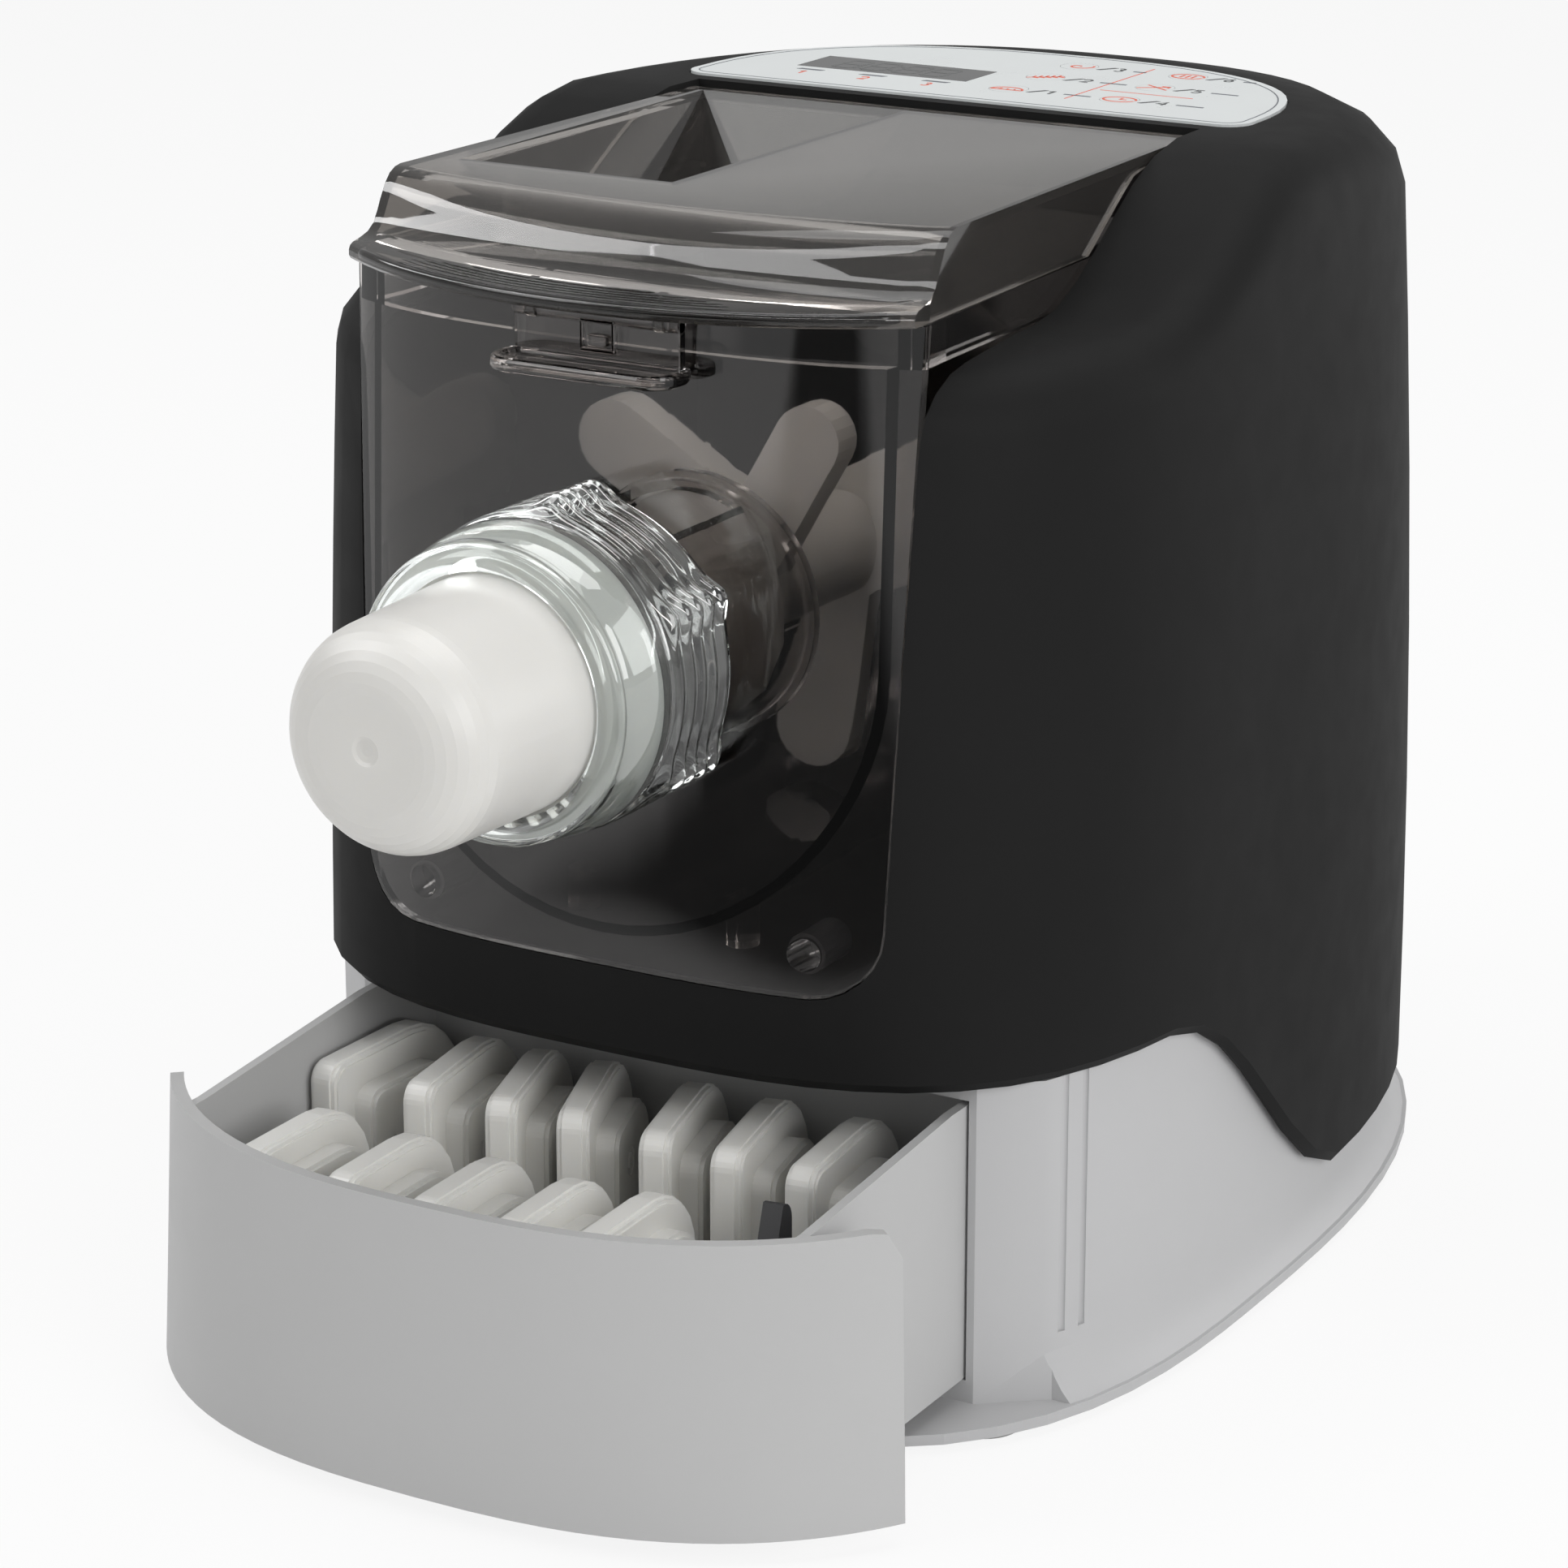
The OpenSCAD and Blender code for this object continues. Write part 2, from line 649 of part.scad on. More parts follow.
module control_board() color(green)
    difference() {
        translate([0, 0, board_z - 1.6]) linear_extrude(1.6) panel_2d(-6);
        for (p = board_post_xy) translate([p[0], p[1], board_z - 5]) cylinder(h = 10, r = 1.2, $fn = 16);
    }

switch_h = 5;

module key_switches() color(dark_grey)
    for (p = key_xy) translate([p[0], p[1], board_z]) {
        translate([-3, -3, 0]) cube([6, 6, switch_h - 1.5]);
        cylinder(h = switch_h, r = 1.7, $fn = 20);
    }

// A key: a pad in the panel on a plunger that presses its switch
module key(i) color(fascia_grey) translate([key_xy[i][0], key_xy[i][1], 0]) {
    translate([0, 0, top_z - 0.4]) cylinder(h = fascia_proud + 0.4, r = key_r, $fn = 40);
    translate([0, 0, board_z + switch_h + key_travel + 0.2])
        cylinder(h = top_z - board_z - switch_h - key_travel - 0.5, r = key_r - 1.2, $fn = 32);
}

// ---------------------------------------------------------------- gears

pressure_angle = 25;
backlash = 0.12;

function inv_deg(r, rb) = r <= rb ? 0 : let (a = acos(rb / r)) tan(a) * 180 / PI - a;

// Half of a tooth's width at radius r, in degrees
function tooth_half(r, teeth) =
    let (rp = gear_module * teeth / 2, rb = rp * cos(pressure_angle))
    90 / teeth - backlash / rp * 90 / PI + inv_deg(rp, rb) - inv_deg(max(r, rb), rb);

module gear_2d(teeth) {
    rp = gear_module * teeth / 2;
    radii = [for (k = [-1.2, -0.4, 0.3, 0.85]) rp + k * gear_module];
    polygon([for (k = [0:teeth - 1], s = [-1, 1], j = [0:3])
        let (r = s < 0 ? radii[j] : radii[3 - j], a = 360 * k / teeth + s * tooth_half(r, teeth))
        [r * cos(a), r * sin(a)]]);
}

bearing_r = 13;
bearing_w = 6;
plate_y = bay_rear_y + liner_wall + 4; // front gear plate
front_bearing_y = plate_y - 0.7;
gear_plate_t = 2.5;
gap_y = 27; // distance between the plates
rear_plate_y = plate_y + gear_plate_t + gap_y;
out_gear_y = front_bearing_y + bearing_w + 0.7; // output gear and small idler gear
out_gear_w = 10;
big_gear_y = out_gear_y + out_gear_w + 2; // large idler gear and motor pinion
big_gear_w = 8;

output_r = gear_module * output_teeth / 2;
idler_small_r = gear_module * idler_small_teeth / 2;
idler_big_r = gear_module * idler_big_teeth / 2;
motor_pinion_r = gear_module * motor_teeth / 2;
idler_dir = 225; // direction of the idler seen from the front, from the output axis
motor_dir = 300; // direction of the motor from the idler
function polar(r, a) = [r * cos(a), r * sin(a)];
output_xz = [0, shaft_z];
idler_xz = output_xz + polar(output_r + idler_small_r, idler_dir);
motor_xz = idler_xz + polar(idler_big_r + motor_pinion_r, motor_dir);

// Places a shape drawn in the XZ plane at y, growing towards +Y
module on_axis(xz, y) translate([xz[0], y, xz[1]]) rotate([90, 0, 0]) mirror([0, 0, 1]) children();

// Turns that put a tooth of one gear opposite a gap of the next
output_turn = idler_dir + 180 / output_teeth;
idler_small_turn = idler_dir + 180;
motor_turn = motor_dir + 180 + 180 / motor_teeth;
idler_big_turn = motor_dir;

module output_gear() color(milky) on_axis(output_xz, out_gear_y) difference() {
    union() {
        difference() {
            linear_extrude(out_gear_w) rotate(output_turn) gear_2d(output_teeth);
            translate([0, 0, out_gear_w - 3]) difference() {
                cylinder(h = 4, r = output_r - 5, $fn = 64);
                translate([0, 0, -1]) cylinder(h = 6, r = shaft_r + 7, $fn = 40);
            }
        }
        cylinder(h = out_gear_w + 3, r = shaft_r + 3, $fn = 40);
    }
    translate([0, 0, -1]) cylinder(h = out_gear_w + 10, r = shaft_r, $fn = 40);
}

idler_axle_r = 3;

module idler_gear() color(steel) difference() {
    union() {
        on_axis(idler_xz, out_gear_y) linear_extrude(out_gear_w + 2)
            rotate(idler_small_turn) gear_2d(idler_small_teeth);
        on_axis(idler_xz, big_gear_y) linear_extrude(big_gear_w)
            rotate(idler_big_turn) gear_2d(idler_big_teeth);
    }
    on_axis(idler_xz, out_gear_y - 5) cylinder(h = 60, r = idler_axle_r + slip, $fn = 40);
    for (a = [0:60:300]) on_axis(idler_xz + polar(idler_big_r * 0.6, a), big_gear_y - 1)
        cylinder(h = big_gear_w + 2, r = 7, $fn = 32);
}

module idler_axle() color(steel) on_axis(idler_xz, plate_y - 1.5)
    cylinder(h = gap_y + 2 * gear_plate_t + 3, r = idler_axle_r, $fn = 40);

motor_boss_r = 11;
pillar_r = 4;
plate_corner_r = 8; // round corners of the gear plates, about the pillars
// Pillars between the plates, anticlockwise from the lower right
pillar_xz = [motor_xz + [40, -12], output_xz + [38, 32], output_xz + [-44, 28],
             idler_xz + [-38, -30]];

module gear_plate(y, motor_hole) on_axis([0, 0], y) difference() {
    linear_extrude(gear_plate_t) polygon([for (i = [0:3], a = [-90:15:0])
        pillar_xz[i] + polar(plate_corner_r, a + 90 * i)]);
    translate([output_xz[0], output_xz[1], -1]) cylinder(h = 10, r = bearing_r, $fn = 48);
    translate([idler_xz[0], idler_xz[1], -1]) cylinder(h = 10, r = idler_axle_r, $fn = 32);
    if (motor_hole) translate([motor_xz[0], motor_xz[1], -1])
        cylinder(h = 10, r = motor_boss_r, $fn = 48);
    for (p = pillar_xz) translate([p[0], p[1], -1]) cylinder(h = 10, r = pillar_r / 2, $fn = 24);
}

module gear_plate_front() color(steel) gear_plate(plate_y, false);
module gear_plate_rear() color(steel) gear_plate(rear_plate_y, true);

module gear_spacers() color(steel) for (p = pillar_xz) {
    on_axis(p, plate_y + gear_plate_t) cylinder(h = gap_y, r = pillar_r, $fn = 24);
    on_axis(p, bay_rear_y + liner_wall)
        cylinder(h = plate_y - bay_rear_y - liner_wall, r = pillar_r, $fn = 24);
}

module gearbox_screws() color(steel)
    for (p = pillar_xz) on_axis(p, rear_plate_y + gear_plate_t) difference() {
        cylinder(h = 2.4, r = 3.8, $fn = 24);
        translate([0, 0, 1.2]) cylinder(h = 3, r = 1.8, $fn = 6);
    }

module shaft_bearings() color(steel) for (y = [front_bearing_y, rear_plate_y])
    on_axis(output_xz, y) difference() {
        cylinder(h = bearing_w, r = bearing_r, $fn = 48);
        translate([0, 0, -1]) cylinder(h = bearing_w + 2, r = shaft_r + slip, $fn = 48);
        for (z = [-1, bearing_w - 0.6]) translate([0, 0, z]) difference() {
            cylinder(h = 1.6, r = bearing_r - 2.2, $fn = 48);
            translate([0, 0, -1]) cylinder(h = 4, r = shaft_r + 2.2, $fn = 48);
        }
    }

module shaft_seal() color(dark_grey) on_axis(output_xz, bay_rear_y + 0.5) difference() {
    cylinder(h = 5, r = shaft_hole_r, $fn = 48);
    translate([0, 0, -1]) cylinder(h = 8, r = shaft_r + slip, $fn = 48);
    translate([0, 0, -1]) difference() {
        cylinder(h = 2.5, r = shaft_hole_r - 1.5, $fn = 48);
        translate([0, 0, -1]) cylinder(h = 5, r = shaft_r + 1.5, $fn = 48);
    }
}

// ---------------------------------------------------------------- motor

motor_y = rear_plate_y + gear_plate_t;
rotor_r = 4; // rotor shaft

module motor_can() color(steel) on_axis(motor_xz, motor_y) difference() {
    union() {
        cylinder(h = motor_len, r = motor_r, $fn = 64);
        translate([0, 0, -gear_plate_t]) cylinder(h = 5, r = motor_boss_r - slip, $fn = 48);
        translate([0, 0, motor_len]) cylinder(h = 4, r = 12, $fn = 40);
        translate([0, 0, 18]) cylinder(h = motor_len - 30, r = motor_r + 1.5, $fn = 64);
    }
    translate([0, 0, -10]) cylinder(h = motor_len + 30, r = rotor_r + slip, $fn = 32);
    for (a = [15:30:345], z = [6, motor_len - 6]) rotate(a) translate([motor_r - 4, 0, z])
        cube([12, 5, 6], center = true);
}

fan_y = motor_y + motor_len + 6;
fan_w = 10;

module rotor_shaft() color(steel) {
    on_axis(motor_xz, big_gear_y - 3)
        cylinder(h = fan_y + 10 - big_gear_y, r = rotor_r, $fn = 32);
    on_axis(motor_xz, big_gear_y) linear_extrude(big_gear_w) rotate(motor_turn) gear_2d(motor_teeth);
}

module cooling_fan() color(dark_grey) on_axis(motor_xz, fan_y) difference() {
    union() {
        cylinder(h = fan_w, r = 2 * rotor_r, $fn = 40);
        intersection() {
            cylinder(h = fan_w, r = motor_r - 4, $fn = 48);
            for (a = [0:45:315]) rotate(a) translate([rotor_r, -0.6, fan_w / 2])
                rotate([35, 0, 0]) translate([0, 0, -fan_w]) cube([motor_r, 1.4, 2 * fan_w]);
        }
    }
    translate([0, 0, -1]) cylinder(h = fan_w + 10, r = rotor_r, $fn = 32);
}

// ---------------------------------------------------------------- chamber

window_lean = atan(front_draft * (draft(rim_z) - draft(bay_floor_z)) / (rim_z - bay_floor_z));
window_front = housing_front - front_draft * draft(bay_floor_z); // its reach at the bay floor
window_gap = 0.4;
bowl_out_r = bowl_r + chamber_wall;
chamber_rear_y = bay_rear_y - 10;
window_y0 = plan_y - window_front; // front of the window at the bay floor

// y of the window's front at height z
function window_at(z) = window_y0 + (z - bay_floor_z) * tan(window_lean);
window_y = window_at(shaft_z);

// Leans a plan outline back with the front of the housing and gives it height
module leaned() translate([0, plan_y, bay_floor_z]) rotate([-window_lean, 0, 0])
    translate([0, -plan_y, -40]) linear_extrude(260) children();

// Everything behind the front of the housing, drawn in by inset
module behind_front(inset) leaned() polygon(front_outline(inset));

// Front half of the housing's plan, drawn in by inset, closed far behind
function front_outline(inset) = let (w = bay_half_w + 5, rear = bay_rear_y + 36 - inset) concat(
    [for (i = [-9:9]) let (x = i * w / 9) [x, front_y(x, housing_half_w, window_front) + inset]],
    [[w, rear], [-w, rear]]);

// Front view of the chamber window
module window_2d() {
    intersection() {
        bay_front_2d(-window_gap);
        translate([-big / 2, bay_floor_z]) square([big, rim_z - bay_floor_z]);
    }
}

// Inside outline of the bowl in front view, drawn out by g
module bowl_2d(g) {
    r = bowl_r + g;
    top = rim_z + 20;
    polygon(concat([for (a = [180:6:360]) [r * cos(a), shaft_z + r * sin(a)]], [[r, top], [-r, top]]));
}

barrel_out_r = barrel_r + barrel_wall;
spout_in_r = barrel_out_r + 0.1;
spout_out_r = spout_in_r + 2.6;
nut_rear_y = window_y - 3;
nut_front_y = nut_rear_y - nut_len;
nut_in_r = spout_out_r + 0.6;
ridge_n = 5;
ridge_pitch = 3.6;
ridge_depth = 0.7;
lip_t = 2.2;
cap_skirt_r = nut_in_r - 0.5;
cap_skirt = 15; // length of the cap's skirt inside the nut
cap_seat_y = nut_front_y + lip_t + seat + cap_skirt; // rear face of the skirt
spout_front_y = cap_seat_y + seat;
spout_len = window_y - spout_front_y;

module rim_2d(g) {
    back = window_at(rim_z) - window_y0 + 0.4 + g;
    front_rim = [for (i = [-8:8]) let (x = i * (bay_half_w - 1.2) / 8)
        [x, front_y(x, housing_half_w, window_front) + back]];
    rear_w = bay_rear_half_w - 0.6 - g;
    rear_y = chamber_rear_y + chamber_wall;
    polygon(concat([for (p = front_rim) [sign(p[0]) * max(0, abs(p[0]) - g), p[1]]],
                   [[rear_w, rear_y], [-rear_w, rear_y]]));
}

window_t = chamber_wall + 0.5;
foot_pos = [for (x = [-22, 22], y = [-112, -12]) [x, y]]; // feet under the bowl
bowl_foot_r = 4;

// Height of the bowl's outside above its lowest point, at x
function bowl_rise(x) = bowl_out_r - sqrt(pow(bowl_out_r, 2) - pow(x, 2));

module mixing_chamber() color(smoke) difference() {
    union() {
        // window
        intersection() {
            translate([0, -80, 0]) rotate([90, 0, 0]) linear_extrude(100) window_2d();
            leaned() difference() {
                polygon(front_outline(0));
                polygon(front_outline(window_t));
            }
        }
        // bowl with its rear wall
        intersection() {
            difference() {
                translate([0, chamber_rear_y + chamber_wall, 0]) rotate([90, 0, 0])
                    linear_extrude(200) bowl_2d(chamber_wall);
                translate([0, chamber_rear_y, 0]) rotate([90, 0, 0]) linear_extrude(210) bowl_2d(0);
            }
            behind_front(window_t - 0.5);
            translate([-big / 2, -big / 2, 0]) cube([big, big, rim_z - 1]);
        }
        // rim, open inside
        translate([0, 0, rim_z - rim_h]) linear_extrude(rim_h) difference() {
            rim_2d(0);
            rim_2d(5);
        }
        // spout
        translate([0, spout_front_y, shaft_z]) rotate([-90, 0, 0])
            cylinder(h = spout_len + 2, r = spout_out_r, $fn = 64);
        // locating pegs behind the window
        for (m = [-1, 1]) translate([m * (bay_half_w - 24), window_y0 + window_t + 2, bay_floor_z + 10])
            rotate([-90, 0, 0]) cylinder(h = 15, r = 4, $fn = 32);
        // feet on the bay floor
        for (p = foot_pos) translate([p[0], p[1], bay_floor_z + seat])
            cylinder(h = shaft_z - bowl_out_r + bowl_rise(abs(p[0]) - bowl_foot_r) + 0.5 - bay_floor_z,
                     r = bowl_foot_r, $fn = 32);
    }
    // spout bore
    translate([0, spout_front_y - 1, shaft_z]) rotate([-90, 0, 0])
        cylinder(h = spout_len + 10, r = spout_in_r, $fn = 64);
    // shaft hole in the rear wall
    translate([0, chamber_rear_y - 2, shaft_z]) rotate([-90, 0, 0])
        cylinder(h = 10, r = shaft_r + 0.4, $fn = 40);
    // mouth between the bowl and the rim
    translate([0, chamber_rear_y, rim_z - rim_h - 1]) rotate([90, 0, 0]) linear_extrude(110)
        translate([-bowl_r, 0]) square([2 * bowl_r, rim_h + 10]);
}

barrel_rear_y = window_y + chamber_wall + barrel_inside;
feed_w = 30;

module extrusion_barrel() color(smoke) difference() {
    union() {
        translate([0, spout_front_y, shaft_z]) rotate([-90, 0, 0])
            cylinder(h = barrel_rear_y - spout_front_y, r = barrel_out_r, $fn = 64);
        translate([0, barrel_rear_y - 2.5, shaft_z]) rotate([-90, 0, 0])
            cylinder(h = 2.5, r = barrel_out_r + 1.5, $fn = 64);
    }
    translate([0, spout_front_y - 1, shaft_z]) rotate([-90, 0, 0])
        cylinder(h = 200, r = barrel_r, $fn = 64);
    // feed opening in the upper side
    translate([-feed_w / 2, window_y + chamber_wall + 6, shaft_z])
        cube([feed_w, barrel_inside - 12, 60]);
}

// ---------------------------------------------------------------- auger and paddle

auger_r = barrel_r - 0.5;
auger_core_r = 9;
auger_front_y = spout_front_y + 4;
auger_rear_y = barrel_rear_y + 4;
auger_pitch = 30;
collar_len = 6;
square_w = shaft_r * 1.5; // square end of the drive shaft
tip_y = auger_front_y + 13; // front end of the drive shaft

// Square hole of the shaft's end, len_y long from y
module square_bar(y, len_y) translate([-square_w / 2, y, shaft_z - square_w / 2])
    cube([square_w, len_y, square_w]);

module auger_section_2d() {
    half = 13; // half of the flight's angle at the core, in degrees
    polygon(concat(
        [for (a = [half + 20:24:360 - half - 20]) polar(auger_core_r, a)],
        [polar(auger_core_r, -half), polar(auger_r - 1, -half * 0.42), polar(auger_r, 0),
         polar(auger_r - 1, half * 0.42), polar(auger_core_r, half)]));
}

module auger_screw() color(milky) difference() {
    union() {
        translate([0, auger_front_y, shaft_z]) rotate([-90, 0, 0]) {
            len_y = auger_rear_y - auger_front_y;
            turns = len_y / auger_pitch;
            linear_extrude(len_y, twist = 360 * turns, slices = round(16 * turns)) auger_section_2d();
        }
        translate([0, auger_rear_y - 0.5, shaft_z]) rotate([-90, 0, 0])
            cylinder(h = collar_len + 0.5, r = auger_core_r + 3, $fn = 40);
    }
    square_bar(tip_y, 200);
}

paddle_front_y = auger_rear_y + collar_len;
paddle_rear_y = chamber_rear_y - 4;
hub_r = 13;
shaft_step_y = paddle_rear_y - 10; // where the shaft turns from square to round
// Each arm: angle seen from the front, y, reach, width
paddle_arms = [[149, -56, 62, 20], [60, -80, 54, 17], [27, -22, 62, 32], [258, -20, 63, 20]];

module paddle_arm(a) translate([0, a[1], shaft_z]) rotate([0, -a[0], 0]) {
    w = a[3];
    tip = [for (k = [-90:18:90]) [a[2] - w / 2, 0] + polar(w / 2, k)];
    rotate([90, 0, 0]) linear_extrude(w * 0.5, center = true)
        polygon(concat([[0, -w / 2]], tip, [[0, w / 2]]));
}

module mixing_paddle() color(milky) difference() {
    union() {
        translate([0, paddle_front_y, shaft_z]) rotate([-90, 0, 0])
            cylinder(h = paddle_rear_y - paddle_front_y, r = hub_r, $fn = 48);
        for (a = paddle_arms) paddle_arm(a);
    }
    square_bar(paddle_front_y - 5, shaft_step_y - paddle_front_y + 5);
    translate([0, shaft_step_y - 0.01, shaft_z]) rotate([-90, 0, 0])
        cylinder(h = 30, r = shaft_r, $fn = 40);
}

module drive_shaft() color(steel) {
    translate([0, shaft_step_y, shaft_z]) rotate([-90, 0, 0])
        cylinder(h = rear_plate_y + bearing_w + 1 - shaft_step_y, r = shaft_r, $fn = 40);
    square_bar(tip_y, shaft_step_y - tip_y);
}

// ---------------------------------------------------------------- outlet

// Outer profile of the nut, [distance from its rear, radius]
function nut_profile() = concat(
    [[0, nut_r - 1], [2, nut_r - 0.4]],
    [for (k = [0:ridge_n - 1])
        each [[3 + k * ridge_pitch, nut_r - ridge_depth], [3 + (k + 0.5) * ridge_pitch, nut_r]]],
    [[3 + ridge_n * ridge_pitch, nut_r - ridge_depth]],
    [for (a = [0:15:75]) [24 + (nut_len - 27) * sin(a), mix(nut_front_r, nut_r - 0.4, cos(a))]],
    [[nut_len - 3, nut_front_r], [nut_len - 0.8, nut_front_r - 0.2], [nut_len, nut_front_r - 1.2]]);

module ring_nut() color(clear) translate([0, nut_rear_y, shaft_z]) rotate([90, 0, 0]) difference() {
    union() {
        rotate_extrude($fn = 72)
            polygon(concat([[0, 0]], [for (p = nut_profile()) [p[1], p[0]]], [[0, nut_len]]));
        for (k = [0:5]) rotate(k * 60 + 27) translate([lobe_r - 6, 0, 1]) {
            cylinder(h = 19, r = 6, $fn = 32);
            translate([0, 0, 19]) cylinder(h = 8, r1 = 6, r2 = 2, $fn = 32);
        }
    }
    translate([0, 0, -1]) cylinder(h = nut_len - lip_t + 1, r = nut_in_r, $fn = 64);
    translate([0, 0, -1]) cylinder(h = nut_len + 5, r = cap_base_r + 0.8, $fn = 64);
}

cap_round = 14; // rounding of the cap's front edge
cap_wall = 2.6;

// Quarter round of the cap's front edge, with radius r
function cap_edge(full, r, angles) =
    [for (a = angles) [cap_tip_r - cap_round, full - cap_round] + polar(r, a)];

module outlet_cap() color(milky) translate([0, cap_seat_y, shaft_z]) rotate([90, 0, 0]) {
    full = cap_skirt + lip_t + seat + cap_len;
    throat_r = cap_base_r - cap_wall;
    outer = concat(
        [[cap_skirt_r, 0], [cap_skirt_r, cap_skirt], [cap_base_r, cap_skirt],
         [cap_base_r, cap_skirt + lip_t + 1]],
        cap_edge(full, cap_round, [0:10:90]),
        [[3.4, full], [2.6, full - 0.5], [1.4, full - 0.9], [0, full - 1]]);
    inner = concat(
        [[0, full - cap_wall - 1]],
        cap_edge(full, cap_round - cap_wall, [90:-15:0]),
        [[throat_r, cap_skirt + 2], [throat_r, cap_skirt - 2.6],
         [cap_skirt_r - cap_wall, cap_skirt - 2.6], [cap_skirt_r - cap_wall, 0]]);
    rotate_extrude($fn = 72) polygon(concat(outer, inner));
}

// ---------------------------------------------------------------- lid

lid_rear_y = bay_rear_y - 3;
lid_half_w = bay_half_w - 0.4;
lid_rear_half_w = bay_rear_half_w - 0.6;
lid_bottom_z = rim_z + 0.4;
lid_stations = 20;

// Front edge of the lid's flat top, and reach of its lip, at a given x
function fold_y(x) = mix(lip_y + 36, lip_corner_y + 21, pow(abs(x) / lid_half_w, 2));
function lip_reach(x) = mix(lip_y, lip_corner_y, pow(abs(x) / lid_half_w, 2.2));

// Front face of the lid: [share of the way from the fold to the lip, drop below the top]
fold_drop = [[0, 0], [0.1, 0.4], [0.2, 1.5], [0.3, 3.8], [0.39, 7.1], [0.46, 10], [0.54, 12.5],
             [0.64, 14], [0.78, 14.9], [0.92, 15.5], [0.975, 16.1], [1, 17.1], [1, 18.4],
             [0.97, 19.2], [0.66, 19.2]];
// Inside of the front face, which ends in the hollow open below
hollow_drop = [[0, lid_t], [0.12, lid_t + 0.6], [0.22, lid_t + 2.4], [0.3, lid_t + 5.4],
               [0.37, lid_t + 8.8], [0.45, lid_t + 11.8], [0.5, lid_t + 13], [0.5, lid_h + 20]];
lid_edge_t = 3.4; // depth of the lid's edge at the rear

// Bottom edge of the lid's sides, which follows the housing's upper edge, front to rear
function lid_side_z(y) = min(lid_top_z - lid_edge_t, max(lid_bottom_z, edge_z(y) + 0.5));
lid_under = concat([[s_front_y + 22, lid_bottom_z]],
                   [for (y = [s_front_y + 28:5:s_rear_y]) [y, lid_side_z(y)]],
                   [[lid_rear_y, lid_top_z - lid_edge_t]]);

function lid_station(x, drops, rear) = concat(
    [for (d = drops) [x, mix(fold_y(x), lip_reach(x), d[0]), lid_top_z - d[1]]],
    [for (p = rear) [x, p[0], p[1]]]);

// Solid swept from side to side
module sweep_x(drops, rear, half_w) {
    n = lid_stations;
    st = [for (i = [0:n]) lid_station(mix(-half_w, half_w, i / n), drops, rear)];
    m = len(st[0]);
    sides = [for (i = [0:n - 1], j = [0:m - 1])
        let (a = i * m + j, b = i * m + (j + 1) % m) [a + m, b + m, b, a]];
    left_end = [for (j = [0:m - 1]) j];
    right_end = [for (j = [m - 1:-1:0]) n * m + j];
    polyhedron(points = [for (s = st) each s], faces = concat(sides, [left_end, right_end]),
               convexity = 8);
}

module lid_plan_2d(g) {
    front = lip_y - 5;
    rear_w = lid_rear_half_w - g;
    front_w = rear_w + bay_taper * (bay_rear_y - front);
    polygon([[-rear_w, lid_rear_y], [-front_w, front], [front_w, front], [rear_w, lid_rear_y]]);
}

hopper_x = [-66, -7];
hopper_y = [-95, lid_rear_y - 4];
hopper_floor_x = [-52, -20];
hopper_floor_y = [-72, lid_rear_y - 17];
hopper_wall = 2;
slot_n = 3; // liquid slots on each side of the middle one
slot_size = [22, 3];
slot_pitch = 9;

// Corners of a rectangle at height z, grown outwards by g
function rect_corners(x, y, z, g) = [[x[0] - g, y[0] - g, z], [x[1] + g, y[0] - g, z],
                                     [x[1] + g, y[1] + g, z], [x[0] - g, y[1] + g, z]];

// Pyramid frustum of the hopper, grown outwards by g
module hopper_body(g) polyhedron(
    points = concat(
        rect_corners(hopper_floor_x, hopper_floor_y, lid_top_z - hopper_depth - g, g),
        rect_corners(hopper_x, hopper_y, lid_top_z + (g == 0 ? 0.01 : 0), g)),
    faces = [[0, 1, 2, 3], [7, 6, 5, 4], [0, 4, 5, 1], [1, 5, 6, 2], [2, 6, 7, 3], [3, 7, 4, 0]]);

lid_hollow_rear = [for (z = [lid_top_z - lid_h - 20, lid_top_z - lid_t]) [lid_rear_y - lid_t, z]];

module lid() color(smoke) {
    difference() {
        union() {
            difference() {
                intersection() {
                    sweep_x(fold_drop, concat(lid_under, [[lid_rear_y, lid_top_z]]), lid_half_w + 0.5);
                    linear_extrude(big) lid_plan_2d(0);
                }
                intersection() {
                    sweep_x(hollow_drop, lid_hollow_rear, lid_half_w + 1);
                    linear_extrude(big) lid_plan_2d(lid_t);
                }
            }
            hopper_body(hopper_wall);
            // hinge stubs at the rear corners
            for (m = [-1, 1]) translate([m * (lid_rear_half_w + 0.7), hinge_y, hinge_z])
                rotate([0, 90, 0]) cylinder(h = 4.4, r = hinge_r, center = true, $fn = 32);
        }
        translate([0, 0, 0.01]) hopper_body(0);
        translate([(hopper_floor_x[0] + hopper_floor_x[1]) / 2,
                   (hopper_floor_y[0] + hopper_floor_y[1]) / 2, lid_top_z - hopper_depth])
            for (i = [-slot_n:slot_n]) translate([0, i * slot_pitch, 0])
                cube([slot_size[0], slot_size[1], 12], center = true);
    }
    // ears that carry the latch pin
    for (m = [-1, 1]) translate([m * latch_ear_x, latch_y, latch_z]) rotate([0, 90, 0]) difference() {
        union() {
            cylinder(h = ear_t, r = 2.6, center = true, $fn = 32);
            translate([-2.6, 0, 0]) cube([5, 3.6, ear_t], center = true);
        }
        cylinder(h = 10, r = latch_pin_r, center = true, $fn = 24);
    }
}

// ---------------------------------------------------------------- latch

latch_half_w = 22;
latch_ear_x = 17;
ear_t = 2.4; // thickness of the lid's ears
latch_t = 2.4;
latch_pin_r = 1.2;
latch_z = lid_top_z - 22;
latch_y = window_at(latch_z) - latch_t / 2 - 1.8; // just in front of the window
latch_h = 13.4;
shelf_out = 9;
catch_z = latch_z - 7; // middle of the latch's catch

